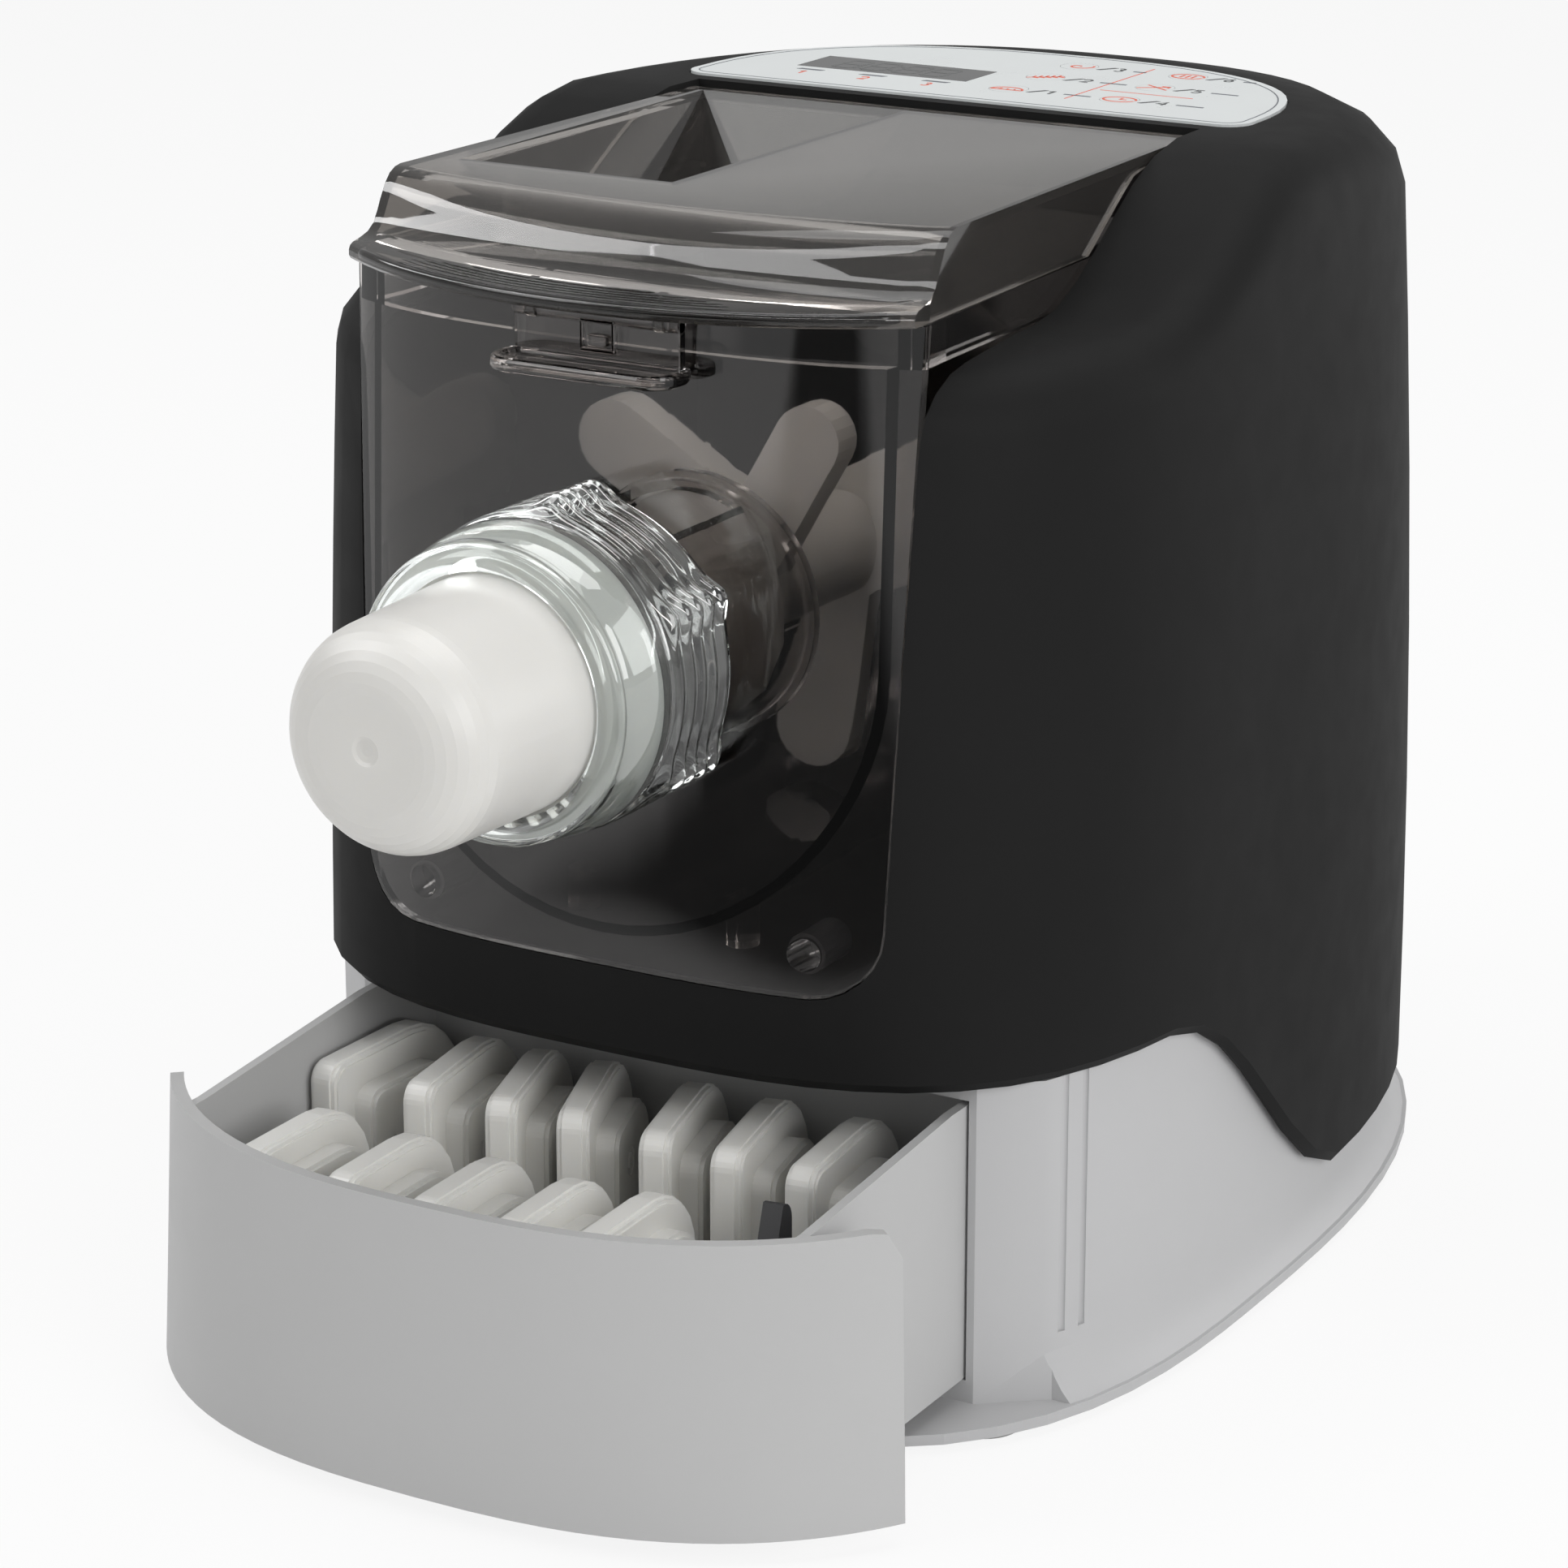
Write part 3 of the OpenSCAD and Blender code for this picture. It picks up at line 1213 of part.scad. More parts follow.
module lid_latch() color(smoke) difference() {
    union() {
        difference() {
            union() {
                translate([-latch_half_w, latch_y - latch_t / 2, latch_z - latch_h])
                    cube([2 * latch_half_w, latch_t, latch_h]);
                translate([0, latch_y, latch_z]) rotate([0, 90, 0])
                    cylinder(h = 2 * latch_half_w, r = latch_t, center = true, $fn = 32);
            }
            // slots for the lid's ears
            for (m = [-1, 1]) translate([m * latch_ear_x, latch_y, latch_z])
                cube([ear_t + 1, 20, 7], center = true);
            // recess with a plain arrow left standing
            translate([0, latch_y - latch_t / 2 + 0.5, catch_z + 2]) rotate([90, 0, 0])
                linear_extrude(5) difference() {
                    square([8, 6.4], center = true);
                    polygon([[-2, -2], [2, -2], [0, 2]]);
                }
        }
        // finger shelf
        translate([0, latch_y + latch_t / 2, latch_z - latch_h]) linear_extrude(3.4) polygon(concat(
            [for (a = [180:15:270]) [-latch_half_w + 1, -shelf_out + 5] + polar(5, a)],
            [for (a = [270:15:360]) [latch_half_w - 1, -shelf_out + 5] + polar(5, a)],
            [[latch_half_w, 0], [-latch_half_w, 0]]));
    }
    translate([0, latch_y, latch_z]) rotate([0, 90, 0])
        cylinder(h = 60, r = latch_pin_r + slip, center = true, $fn = 24);
}

module latch_pin() color(steel) translate([0, latch_y, latch_z]) rotate([0, 90, 0])
    cylinder(h = 2 * latch_ear_x + 4, r = latch_pin_r, center = true, $fn = 24);

module lid_switch() color(dark_grey) translate([34, bay_rear_y + liner_wall, rim_z - 7]) {
    cube([20, 7, 11]);
    translate([10, 7, 5.5]) rotate([-90, 0, 0]) cylinder(h = 3, r = 2, $fn = 24);
}

// ---------------------------------------------------------------- drawer

// Everything in this section is drawn closed and then moved out by drawer_open
panel_z0 = floor_z + 0.4;
panel_end_x = rib_x - 1.5;
panel_stations = 36;
panel_corner = 7;

panel_power = 2.6;
panel_foot_a = rim_half_w + 6.4; // half width and reach of the outline the panel follows
panel_foot_f = rim_front + 1.6;

// Half width and reach of that outline at height share h, from 0 at the foot to 1 at the top
function panel_a(h) = panel_foot_a - 3 * h;
function panel_f(h) = panel_foot_f - panel_lean * pow(h, 0.9);

// Point of the drawer panel: t is the plan angle off the middle
function panel_face(t, h, inset) = let (p = 2 / panel_power)
    [(panel_a(h) - inset) * spow(sin(t), p), plan_y - (panel_f(h) - inset) * spow(cos(t), p)];

// y of the panel's outline at x, at height share h
function panel_y(x, h, inset) = plan_y - (panel_f(h) - inset)
    * pow(max(0, 1 - pow(abs(x) / (panel_a(h) - inset), panel_power)), 1 / panel_power);

// Plan angle at which the panel ends
panel_angle = asin(pow(panel_end_x / panel_foot_a, panel_power / 2));

// Top edge of the panel, rounded down near its ends; u runs from -1 to 1
function panel_top(u) = let (r = panel_corner, d = min(r, (1 - abs(u)) * panel_end_x))
    drawer_top_z - r + sqrt(max(0, pow(r, 2) - pow(r - d, 2)));

panel_rows = [0, 0.35, 0.7, 1];

function panel_col(u, inset) = [for (h = panel_rows)
    let (z = mix(panel_z0, panel_top(u), h), share = (z - panel_z0) / (drawer_top_z - panel_z0),
         p = panel_face(u * panel_angle, share, inset))
    [p[0], p[1], z]];

module drawer_front() color(pale_grey) translate([0, -drawer_open, 0]) {
    n = panel_stations;
    us = [for (i = [0:n]) let (v = -1 + 2 * i / n) sin(90 * v) * 0.35 + v * 0.65];
    m = len(panel_rows);
    k = 2 * m;
    points = [for (u = us)
        each concat(panel_col(u, 0), [for (j = [m - 1:-1:0]) panel_col(u, panel_t)[j]])];
    sides = [for (i = [0:n - 1], j = [0:k - 1])
        let (a = i * k + j, b = i * k + (j + 1) % k) [a, b, b + k, a + k]];
    left_end = [for (j = [k - 1:-1:0]) j];
    right_end = [for (j = [0:k - 1]) n * k + j];
    polyhedron(points = points, faces = concat(sides, [left_end, right_end]), convexity = 6);
}

box_half_w = drawer_bay_half_w - drawer_gap;
box_z0 = drawer_floor_z + seat;
box_top_z = bay_top_z - drawer_gap - 0.6;
box_rear_y = plan_y - panel_foot_f + 9 + drawer_len;

// Plan of the drawer box, drawn in by inset; its front follows the panel
module box_2d(inset) {
    n = 14;
    w = box_half_w - inset;
    polygon(concat(
        [for (i = [-n:n]) let (x = i * w / n) [x, panel_y(x, 1, panel_t) + inset + 0.4]],
        [[w, box_rear_y - inset], [-w, box_rear_y - inset]]));
}

box_front_drop = 4; // how far the box's front wall stays below the panel's top

module drawer_box() color(pale_grey) translate([0, -drawer_open, 0]) difference() {
    translate([0, 0, box_z0]) linear_extrude(box_top_z - box_z0) box_2d(0);
    translate([0, 0, box_z0 + drawer_wall]) linear_extrude(box_top_z) box_2d(drawer_wall);
    // the front wall stays behind the panel
    translate([0, 0, drawer_top_z - box_front_drop]) linear_extrude(20) difference() {
        translate([-box_half_w + drawer_wall, -200])
            square([2 * (box_half_w - drawer_wall), 100]);
        box_2d(drawer_wall);
    }
    // the side walls slope down to the panel
    slope_y = opening_y + drawer_len * 0.486;
    rotate([90, 0, 90]) linear_extrude(big, center = true)
        polygon([[-big, drawer_top_z - 1], [opening_y - 6, drawer_top_z - 1], [slope_y, box_top_z],
                 [slope_y, big], [-big, big]]);
}

// ---------------------------------------------------------------- dies

rack_floor = 3; // thickness of the rack's floor
rack_step = 6; // how much higher the front row stands
die_z0 = box_z0 + drawer_wall + rack_floor + seat;
nose_share = 0.7; // width of a die's nose against its flange
// Each die: middle of the flange's left face and turn about Z; the drawer stands open.
// The rear row has seven, the front row five.
die_spots = [[-79, -121, -2], [-56, -122, 8], [-37, -122, 17], [-19, -121, 20], [7, -122, 15],
             [28, -122, 12], [51, -122, 6],
             [-66, -175, 0], [-39, -178, 1], [-14, -181, 1], [9, -182, 2], [29, -180, 2]];
rear_dies = 7;
die_small_w = die_w - 8; // width of the front row's dies

// Keyed outline of a die: two opposite corners tight, the other two wide
module keyed_2d(w, tight, wide) polygon([for (q = [0:3], a = [0:15:90])
    let (r = q % 2 == 0 ? wide : tight, c = w / 2 - r, d = [[1, 1], [-1, 1], [-1, -1], [1, -1]][q])
    [d[0] * c, d[1] * c] + polar(r, a + 90 * q)]);

// Outlets of a die, by kind
module die_outlets_2d(kind) {
    if (kind == 0) for (i = [0:9]) rotate(i * 137.5) translate([3.6 * sqrt(i + 0.6), 0])
        circle(r = 1.1, $fn = 16);
    if (kind == 1) for (i = [-2:2]) translate([i * 5 - 0.8, -8]) square([1.6, 16]);
    if (kind == 2) square([24, 1.4], center = true);
    if (kind == 3) for (a = [0:120:240]) rotate(a) translate([8, 0]) difference() {
        circle(r = 3.6, $fn = 24);
        circle(r = 2, $fn = 20);
    }
    if (kind == 4) for (a = [0:90:270]) rotate(a) translate([7.5, 0]) square([5, 2.4], center = true);
    if (kind == 5) for (a = [0:60:300]) rotate(a) translate([9, 0]) circle(r = 1.6, $fn = 16);
}

module die(i) color(milky) {
    w = i < rear_dies ? die_w : die_small_w;
    z0 = die_z0 + (i < rear_dies ? 0 : rack_step);
    edge = 1.6; // chamfer of the flange's rim
    nose_w = w * nose_share;
    spot = die_spots[i];
    translate([spot[0], spot[1], z0 + w / 2]) rotate([90, 0, 90 + spot[2]]) difference() {
        union() {
            translate([0, 0, edge]) linear_extrude(die_flange_t - 2 * edge) keyed_2d(w, 5, w * 0.4);
            translate([0, 0, edge / 3]) linear_extrude(die_flange_t - edge * 2 / 3)
                keyed_2d(w - edge * 0.8, 4.6, w * 0.39);
            linear_extrude(die_flange_t) keyed_2d(w - 2 * edge, 4, w * 0.37);
            translate([0, 0, die_flange_t]) linear_extrude(die_nose_t - 1) keyed_2d(nose_w, 5, nose_w * 0.4);
            translate([0, 0, die_flange_t]) linear_extrude(die_nose_t) keyed_2d(nose_w - 2, 4, nose_w * 0.38);
        }
        translate([0, 0, die_flange_t + (i % 6 == 3 ? die_nose_t - 2.5 : -3)])
            linear_extrude(20) die_outlets_2d(i % 6);
        translate([0, 0, -1]) cylinder(h = die_flange_t - 1, r = nose_w / 2 - 3, $fn = 48);
    }
}

rib_t = 1.2; // thickness of the ribs between the dies
rib_h = 9; // height of the ribs above the rack floor

split_y = -152; // where the front row's step starts

// A slab of the rack: front and depth in the open drawer, its right end short by cut
module rack_slab(depth, cut, h) translate([0, 0, box_z0 + drawer_wall]) linear_extrude(h)
    intersection() {
        translate([-box_half_w, split_y - 60]) square([2 * box_half_w - cut, depth]);
        translate([0, -drawer_open]) box_2d(drawer_wall + seat);
    }

module die_rack() color(pale_grey) {
    rack_slab(die_w + 64, 0, rack_floor);
    rack_slab(60, 37, rack_floor + rack_step);
    for (i = [0:len(die_spots) - 1])
        let (d = die_spots[i], up = rack_floor + (i < rear_dies ? 0 : rack_step))
            translate([d[0], d[1], box_z0 + drawer_wall + up - 0.1]) rotate(d[2])
                translate([-seat - rib_t, -9, 0]) cube([rib_t, 18, rib_h]);
}

// Flat scraper that stands in the rack beside the front row
module cleaning_tool() color(dark_grey)
    translate([57, -171, box_z0 + drawer_wall + rack_floor + seat]) rotate([90, 0, 97]) {
        half_w = 13;
        translate([0, 0, 1]) linear_extrude(5) polygon(concat([[-half_w, 0]],
            [for (a = [90:-15:0]) [8, 46.6] + polar(5, a)], [[half_w, 0]]));
        translate([-half_w, 0, 0]) cube([2 * half_w, 12, 7]);
    }

// ---------------------------------------------------------------- inlet

// Outer face of the housing and inner face of the base behind the gland
gland_share = pow(1 - pow(gland_x / housing_half_w, rear_power), 1 / rear_power);
gland_out_y = plan_y + housing_rear * gland_share;
gland_in_y = plan_y + (rim_rear - base_inset - 5 - base_wall) * gland_share - 9.5;
cord_r = 3.4; // bore for the cord

module cord_gland() color(dark_grey) translate([gland_x, gland_in_y, gland_z]) rotate([-90, 0, 0])
    difference() {
        reach = gland_out_y - gland_in_y;
        union() {
            cylinder(h = reach + 9, r = gland_r - seat, $fn = 40);
            translate([0, 0, reach + 4]) cylinder(h = 3, r = gland_r + 2.4, $fn = 40);
            cylinder(h = 2.4, r = gland_r + 1.6, $fn = 40);
        }
        translate([0, 0, -1]) cylinder(h = reach + 20, r = cord_r, $fn = 32);
    }

// ---------------------------------------------------------------- nodes

housing_shell();
base_shell();
base_plate();
rubber_feet();
bay_liner();
control_fascia();
display_window();
display_module();
control_board();
key_switches();
for (i = [0:5]) key(i);
power_board();
motor_can();
rotor_shaft();
cooling_fan();
gear_plate_front();
gear_plate_rear();
gear_spacers();
idler_gear();
idler_axle();
output_gear();
drive_shaft();
shaft_bearings();
shaft_seal();
mixing_chamber();
extrusion_barrel();
auger_screw();
mixing_paddle();
lid();
lid_latch();
latch_pin();
lid_switch();
ring_nut();
outlet_cap();
cord_gland();
drawer_box();
drawer_front();
die_rack();
for (i = [0:11]) die(i);
cleaning_tool();
base_screws();
gearbox_screws();
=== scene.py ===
import bpy
import bmesh
import math
from mathutils import Vector, Matrix
from mathutils.bvhtree import BVHTree


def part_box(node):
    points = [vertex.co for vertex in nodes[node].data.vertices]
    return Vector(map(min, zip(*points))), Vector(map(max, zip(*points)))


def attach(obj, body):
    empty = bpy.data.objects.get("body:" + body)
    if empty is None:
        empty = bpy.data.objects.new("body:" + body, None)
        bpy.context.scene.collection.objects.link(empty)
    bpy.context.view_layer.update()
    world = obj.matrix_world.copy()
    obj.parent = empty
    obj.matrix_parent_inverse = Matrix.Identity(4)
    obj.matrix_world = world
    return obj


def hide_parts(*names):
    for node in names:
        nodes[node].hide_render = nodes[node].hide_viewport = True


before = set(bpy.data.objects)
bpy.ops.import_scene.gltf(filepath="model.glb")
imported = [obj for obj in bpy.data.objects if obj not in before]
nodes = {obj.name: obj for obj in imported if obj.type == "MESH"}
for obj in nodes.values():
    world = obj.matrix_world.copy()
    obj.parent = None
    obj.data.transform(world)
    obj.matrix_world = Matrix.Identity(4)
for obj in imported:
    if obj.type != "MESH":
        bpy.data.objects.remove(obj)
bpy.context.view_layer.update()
scene = bpy.context.scene
# Lengths are in metres in the scene, and in millimetres in the pieces below
MM = 1000

# ---------------------------------------------------------------- camera
# Fitted to measured points of the photograph
LENS, SHIFT_X, SHIFT_Y = 111.003, -0.04445, -0.04623
CAM_PLACE = Vector((0.5712, -1.04012, 0.49525))
CAM_RIGHT = Vector((0.87178139, 0.48987256, 0.00469939))
CAM_UP = Vector((-0.14721957, 0.25281985, 0.9562471))
CAM_BACK = Vector((0.46725111, -0.83433027, 0.29252247))
cam_data = bpy.data.cameras.new("camera")
cam = bpy.data.objects.new("camera", cam_data)
scene.collection.objects.link(cam)
scene.camera = cam
cam_data.sensor_width = 36.0
cam_data.lens = LENS
cam_data.shift_x = SHIFT_X
cam_data.shift_y = SHIFT_Y
cam_data.clip_start = 0.05
cam_data.clip_end = 30
cam_axes = Matrix((CAM_RIGHT, CAM_UP, CAM_BACK)).transposed()
cam.matrix_world = Matrix.Translation(CAM_PLACE) @ cam_axes.to_4x4()


# ---------------------------------------------------------------- materials
def lin(*rgb):
    """sRGB 0-255 to linear."""
    out = []
    for v in rgb:
        v /= 255
        out.append(v / 12.92 if v <= 0.04045 else ((v + 0.055) / 1.055) ** 2.4)
    return tuple(out) + (1.0,)


def shade(colour, k):
    """The colour made k times as bright."""
    return tuple(min(1, c * k) for c in colour[:3]) + (1.0,)


def new_material(name):
    m = bpy.data.materials.new(name)
    m.use_nodes = True
    m.node_tree.nodes.clear()
    return m, m.node_tree


def add(tree, kind, x, y, **values):
    """A new node at a place in the editor, with attributes set."""
    n = tree.nodes.new(kind)
    n.location = (x, y)
    for key, value in values.items():
        setattr(n, key, value)
    return n


def noise_tex(tree, coord, scale, detail, x, y):
    n = add(tree, "ShaderNodeTexNoise", x, y)
    n.inputs["Scale"].default_value = scale
    n.inputs["Detail"].default_value = detail
    tree.links.new(coord, n.inputs["Vector"])
    return n.outputs["Fac"]


# The part of a noise's range that carries its contrast
NOISE_LOW, NOISE_HIGH = 0.3, 0.7


def ramp(tree, fac, low, high, x, y):
    """A noise turned into a colour from low to high."""
    r = add(tree, "ShaderNodeValToRGB", x, y)
    first, last = r.color_ramp.elements
    first.position, last.position = NOISE_LOW, NOISE_HIGH
    first.color, last.color = low, high
    tree.links.new(fac, r.inputs["Fac"])
    return r.outputs["Color"]


def map_range(tree, value, start, end, low, high, x, y, step="LINEAR"):
    """A value that is low at start and high at end."""
    r = add(tree, "ShaderNodeMapRange", x, y, interpolation_type=step)
    for socket, number in [("From Min", start), ("From Max", end), ("To Min", low), ("To Max", high)]:
        r.inputs[socket].default_value = number
    tree.links.new(value, r.inputs["Value"])
    return r.outputs["Result"]


def moulded(name, colour, vary, cloud, gloss, gloss_range, grain, bump, sockets, stretch=None):
    """A material with a faint cloud in the colour, uneven gloss and an uneven skin.

    cloud, gloss and grain are a noise's scale and detail; bump is its strength and depth in metres."""
    m, t = new_material(name)
    out = add(t, "ShaderNodeOutputMaterial", 900, 0)
    p = add(t, "ShaderNodeBsdfPrincipled", 600, 0)
    t.links.new(p.outputs["BSDF"], out.inputs["Surface"])
    coord = add(t, "ShaderNodeTexCoord", -900, 0).outputs["Object"]
    fine = coord
    if stretch:
        mapping = add(t, "ShaderNodeMapping", -700, -300)
        mapping.inputs["Scale"].default_value = stretch
        t.links.new(coord, mapping.inputs["Vector"])
        fine = mapping.outputs["Vector"]
    tint = ramp(t, noise_tex(t, coord, *cloud, -500, 250), shade(colour, 1 - vary), shade(colour, 1 + vary),
                -250, 250)
    t.links.new(tint, p.inputs["Base Color"])
    rough = map_range(t, noise_tex(t, coord, *gloss, -500, 0), NOISE_LOW, NOISE_HIGH, *gloss_range, -250, 0)
    t.links.new(rough, p.inputs["Roughness"])
    b = add(t, "ShaderNodeBump", 100, -300)
    b.inputs["Strength"].default_value, b.inputs["Distance"].default_value = bump
    t.links.new(noise_tex(t, fine, *grain, -500, -300), b.inputs["Height"])
    t.links.new(b.outputs["Normal"], p.inputs["Normal"])
    for key, value in sockets.items():
        p.inputs[key.replace("_", " ")].default_value = value
    return m


GLOSS_SPREAD = 0.06
CLEAR_VARY, CLEAR_IOR = 0.06, 1.49


def plastic(name, colour, rough, vary, grain, depth, large=14.0, stretch=None, **sockets):
    """Moulded plastic or metal with a fine grain."""
    gloss_range = (rough - GLOSS_SPREAD / 2, rough + GLOSS_SPREAD / 2)
    return moulded(name, colour, vary, (large, 4), (large * 6, 5), gloss_range, (grain, 2), (0.6, depth), sockets,
                   stretch)


def clear(name, colour, rough, wave, wave_scale, **sockets):
    """See-through plastic with the slow waviness of a moulding."""
    sockets = {"IOR": CLEAR_IOR, "Transmission_Weight": 1.0, **sockets}
    return moulded(name, colour, CLEAR_VARY, (18, 3), (90, 4), (rough * 0.6, rough * 1.5), (wave_scale, 2),
                   (0.5, wave), sockets)


WARM_GLOW = {"Subsurface_Radius": (1.0, 0.95, 0.85)}
M = {
    "black": plastic("housing_black", lin(33, 33, 33), 0.58, 0.05, 2600, 0.000012, IOR=1.4,
                     Specular_IOR_Level=0.08),
    "liner": plastic("liner_black", lin(28, 27, 28), 0.55, 0.05, 2200, 0.00002, Specular_IOR_Level=0.3),
    "grey": plastic("base_grey", lin(193, 193, 194), 0.42, 0.015, 2400, 0.00001, IOR=1.45),
    "drawer": plastic("drawer_grey", lin(191, 191, 191), 0.42, 0.015, 2400, 0.00001, IOR=1.45),
    "panel": plastic("panel_grey", lin(222, 226, 226), 0.3, 0.012, 3000, 0.000006),
    "display": plastic("display_dark", lin(26, 28, 30), 0.12, 0.08, 800, 0.000003),
    "rubber": plastic("rubber_dark", lin(52, 52, 53), 0.75, 0.1, 1500, 0.00005),
    "rubber_pale": plastic("rubber_pale", lin(168, 168, 166), 0.6, 0.05, 1500, 0.00004),
    "dark": plastic("plastic_dark", lin(62, 62, 64), 0.5, 0.08, 1600, 0.00003),
    "board": plastic("board_green", lin(36, 92, 56), 0.4, 0.15, 900, 0.00004, large=60),
    "steel": plastic("steel", lin(176, 178, 182), 0.34, 0.05, 900, 0.00002, stretch=(1, 8, 1), Metallic=1.0),
    "milky": plastic("milky", lin(236, 235, 231), 0.34, 0.012, 1500, 0.00001, Subsurface_Weight=0.35,
                     Subsurface_Scale=0.006, **WARM_GLOW),
    "cap": plastic("cap_milky", lin(227, 225, 220), 0.34, 0.01, 1500, 0.00001, Subsurface_Weight=0.4,
                   Subsurface_Scale=0.008, **WARM_GLOW),
    "smoke": clear("smoked_clear", lin(207, 203, 201), 0.03, 0.000004, 35),
    "lid": clear("smoked_lid", lin(164, 160, 156), 0.03, 0.000003, 30, Transmission_Weight=0.95),
    "lid_dark": clear("smoked_dark", lin(84, 82, 80), 0.06, 0.000003, 30),
    "nut": clear("nut_clear", lin(226, 230, 228), 0.01, 0.000004, 40, Coat_Weight=1.0, Coat_IOR=1.65,
                 Coat_Roughness=0.02),
    "orange": plastic("mark_orange", lin(226, 88, 52), 0.4, 0.04, 1500, 0.000004),
    "mark": plastic("mark_dark", lin(58, 60, 62), 0.45, 0.08, 1500, 0.000004),
    "mark_thin": plastic("mark_grey", lin(92, 96, 104), 0.4, 0.06, 1500, 0.000004),
    "segment": plastic("mark_segment", lin(66, 68, 68), 0.25, 0.06, 1500, 0.000004),
}

DIES, KEYS = 12, 6
LOOKS = {
    "black": ["housing_shell"],
    "liner": ["bay_liner"],
    "grey": ["base_shell", "base_plate"],
    "drawer": ["drawer_box", "drawer_front", "die_rack"],
    "panel": ["control_fascia"] + ["key_%d" % (i + 1) for i in range(KEYS)],
    "display": ["display_window"],
    "rubber": ["shaft_seal", "cord_gland"],
    "rubber_pale": ["rubber_feet"],
    "dark": ["display_module", "key_switches", "cooling_fan", "lid_switch", "cleaning_tool"],
    "board": ["control_board", "power_board"],
    "steel": ["motor_can", "rotor_shaft", "gear_plate_front", "gear_plate_rear", "gear_spacers", "idler_gear",
              "idler_axle", "drive_shaft", "shaft_bearings", "latch_pin", "base_screws", "gearbox_screws"],
    "milky": ["output_gear", "auger_screw", "mixing_paddle"] + ["die_%d" % (i + 1) for i in range(DIES)],
    "cap": ["outlet_cap"],
    "smoke": ["mixing_chamber", "extrusion_barrel", "lid_latch"],
    "lid": ["lid"],
    "nut": ["ring_nut"],
}
NODE_LOOK = {name: look for look, names in LOOKS.items() for name in names}

# Corners nearer than this, in metres, count as one
WELD = 0.000002


def smoothing(angle):
    """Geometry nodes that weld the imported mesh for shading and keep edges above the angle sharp."""
    g = bpy.data.node_groups.new("smooth_%d" % angle, "GeometryNodeTree")
    g.interface.new_socket("Geometry", in_out="INPUT", socket_type="NodeSocketGeometry")
    g.interface.new_socket("Geometry", in_out="OUTPUT", socket_type="NodeSocketGeometry")
    gi = add(g, "NodeGroupInput", -800, 0)
    go = add(g, "NodeGroupOutput", 800, 0)
    weld = add(g, "GeometryNodeMergeByDistance", -600, 0)
    weld.inputs["Distance"].default_value = WELD
    bare = add(g, "GeometryNodeRemoveAttribute", -300, 0)
    bare.inputs["Name"].default_value = "custom_normal"
    face = add(g, "GeometryNodeSetShadeSmooth", 0, 0, domain="FACE")
    edge = add(g, "GeometryNodeSetShadeSmooth", 400, 0, domain="EDGE")
    bend = add(g, "GeometryNodeInputMeshEdgeAngle", -200, -300)
    less = add(g, "FunctionNodeCompare", 100, -300, data_type="FLOAT", operation="LESS_THAN")
    less.inputs["B"].default_value = math.radians(angle)
    g.links.new(bend.outputs["Unsigned Angle"], less.inputs["A"])
    g.links.new(less.outputs["Result"], edge.inputs["Shade Smooth"])
    g.links.new(gi.outputs[0], weld.inputs["Geometry"])
    g.links.new(weld.outputs["Geometry"], bare.inputs["Geometry"])
    g.links.new(bare.outputs["Geometry"], face.inputs["Geometry"])
    g.links.new(face.outputs["Geometry"], edge.inputs["Geometry"])
    g.links.new(edge.outputs["Geometry"], go.inputs[0])
    return g


SMOOTH = {"housing_shell": 32, "base_shell": 32, "drawer_front": 40, "lid": 26, "auger_screw": 40,
          "mixing_chamber": 26}
groups = {a: smoothing(a) for a in sorted(set(SMOOTH.values()))}
for name, o in nodes.items():
    o.data.materials.clear()
    o.data.materials.append(M[NODE_LOOK[name]])
    if name in SMOOTH:
        o.modifiers.new("smooth", "NODES").node_group = groups[SMOOTH[name]]


# ---------------------------------------------------------------- mesh helpers
def piece(name, mesh, material, body, smooth=True):
    """An object from (points in millimetres, faces) that rides a body of the machine."""
    verts, faces = mesh
    me = bpy.data.meshes.new(name)
    me.from_pydata([tuple(c / MM for c in v) for v in verts], [], faces)
    me.update()
    bm = bmesh.new()
    bm.from_mesh(me)
    bmesh.ops.recalc_face_normals(bm, faces=bm.faces)
    bm.to_mesh(me)
    bm.free()
    for p in me.polygons:
        p.use_smooth = smooth
    o = bpy.data.objects.new(name, me)
    scene.collection.objects.link(o)
    me.materials.append(M[material])
    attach(o, body)
    return o


def join(parts):
    """Several (points, faces) as one."""
    verts, faces = [], []
    for v, f in parts:
        k = len(verts)
        verts += v
        faces += [[i + k for i in face] for face in f]
    return verts, faces


def loft(sections, ring=False):
    """A skin through closed loops of equally many points: a bar with filled ends, or a ring."""
    n, count = len(sections[0]), len(sections)
    verts = [p for section in sections for p in section]
    faces = []
    for k in range(count if ring else count - 1):
        a, b = k * n, (k + 1) % count * n
        faces += [[a + i, a + (i + 1) % n, b + (i + 1) % n, b + i] for i in range(n)]
    if not ring:
        faces += [list(range(n))[::-1], [(count - 1) * n + i for i in range(n)]]
    return verts, faces


def prism(outline, z0, z1):
    """A flat plate from an outline of (x, y)."""
    return loft([[(x, y, z0) for x, y in outline], [(x, y, z1) for x, y in outline]])


def ribbon(points, width, z0, z1, closed=False):
    """A flat raised line of even width along points of (x, y)."""
    n = len(points)
    sections = []
    for i, (x, y) in enumerate(points):
        ax, ay = points[i - 1] if closed or i else points[i]
        bx, by = points[(i + 1) % n] if closed or i < n - 1 else points[i]
        length = math.hypot(bx - ax, by - ay) or 1
        nx, ny = -(by - ay) / length * width / 2, (bx - ax) / length * width / 2
        one, other = (x - nx, y - ny), (x + nx, y + ny)
        sections.append([(*one, z0), (*other, z0), (*other, z1), (*one, z1)])
    return loft(sections, ring=closed)


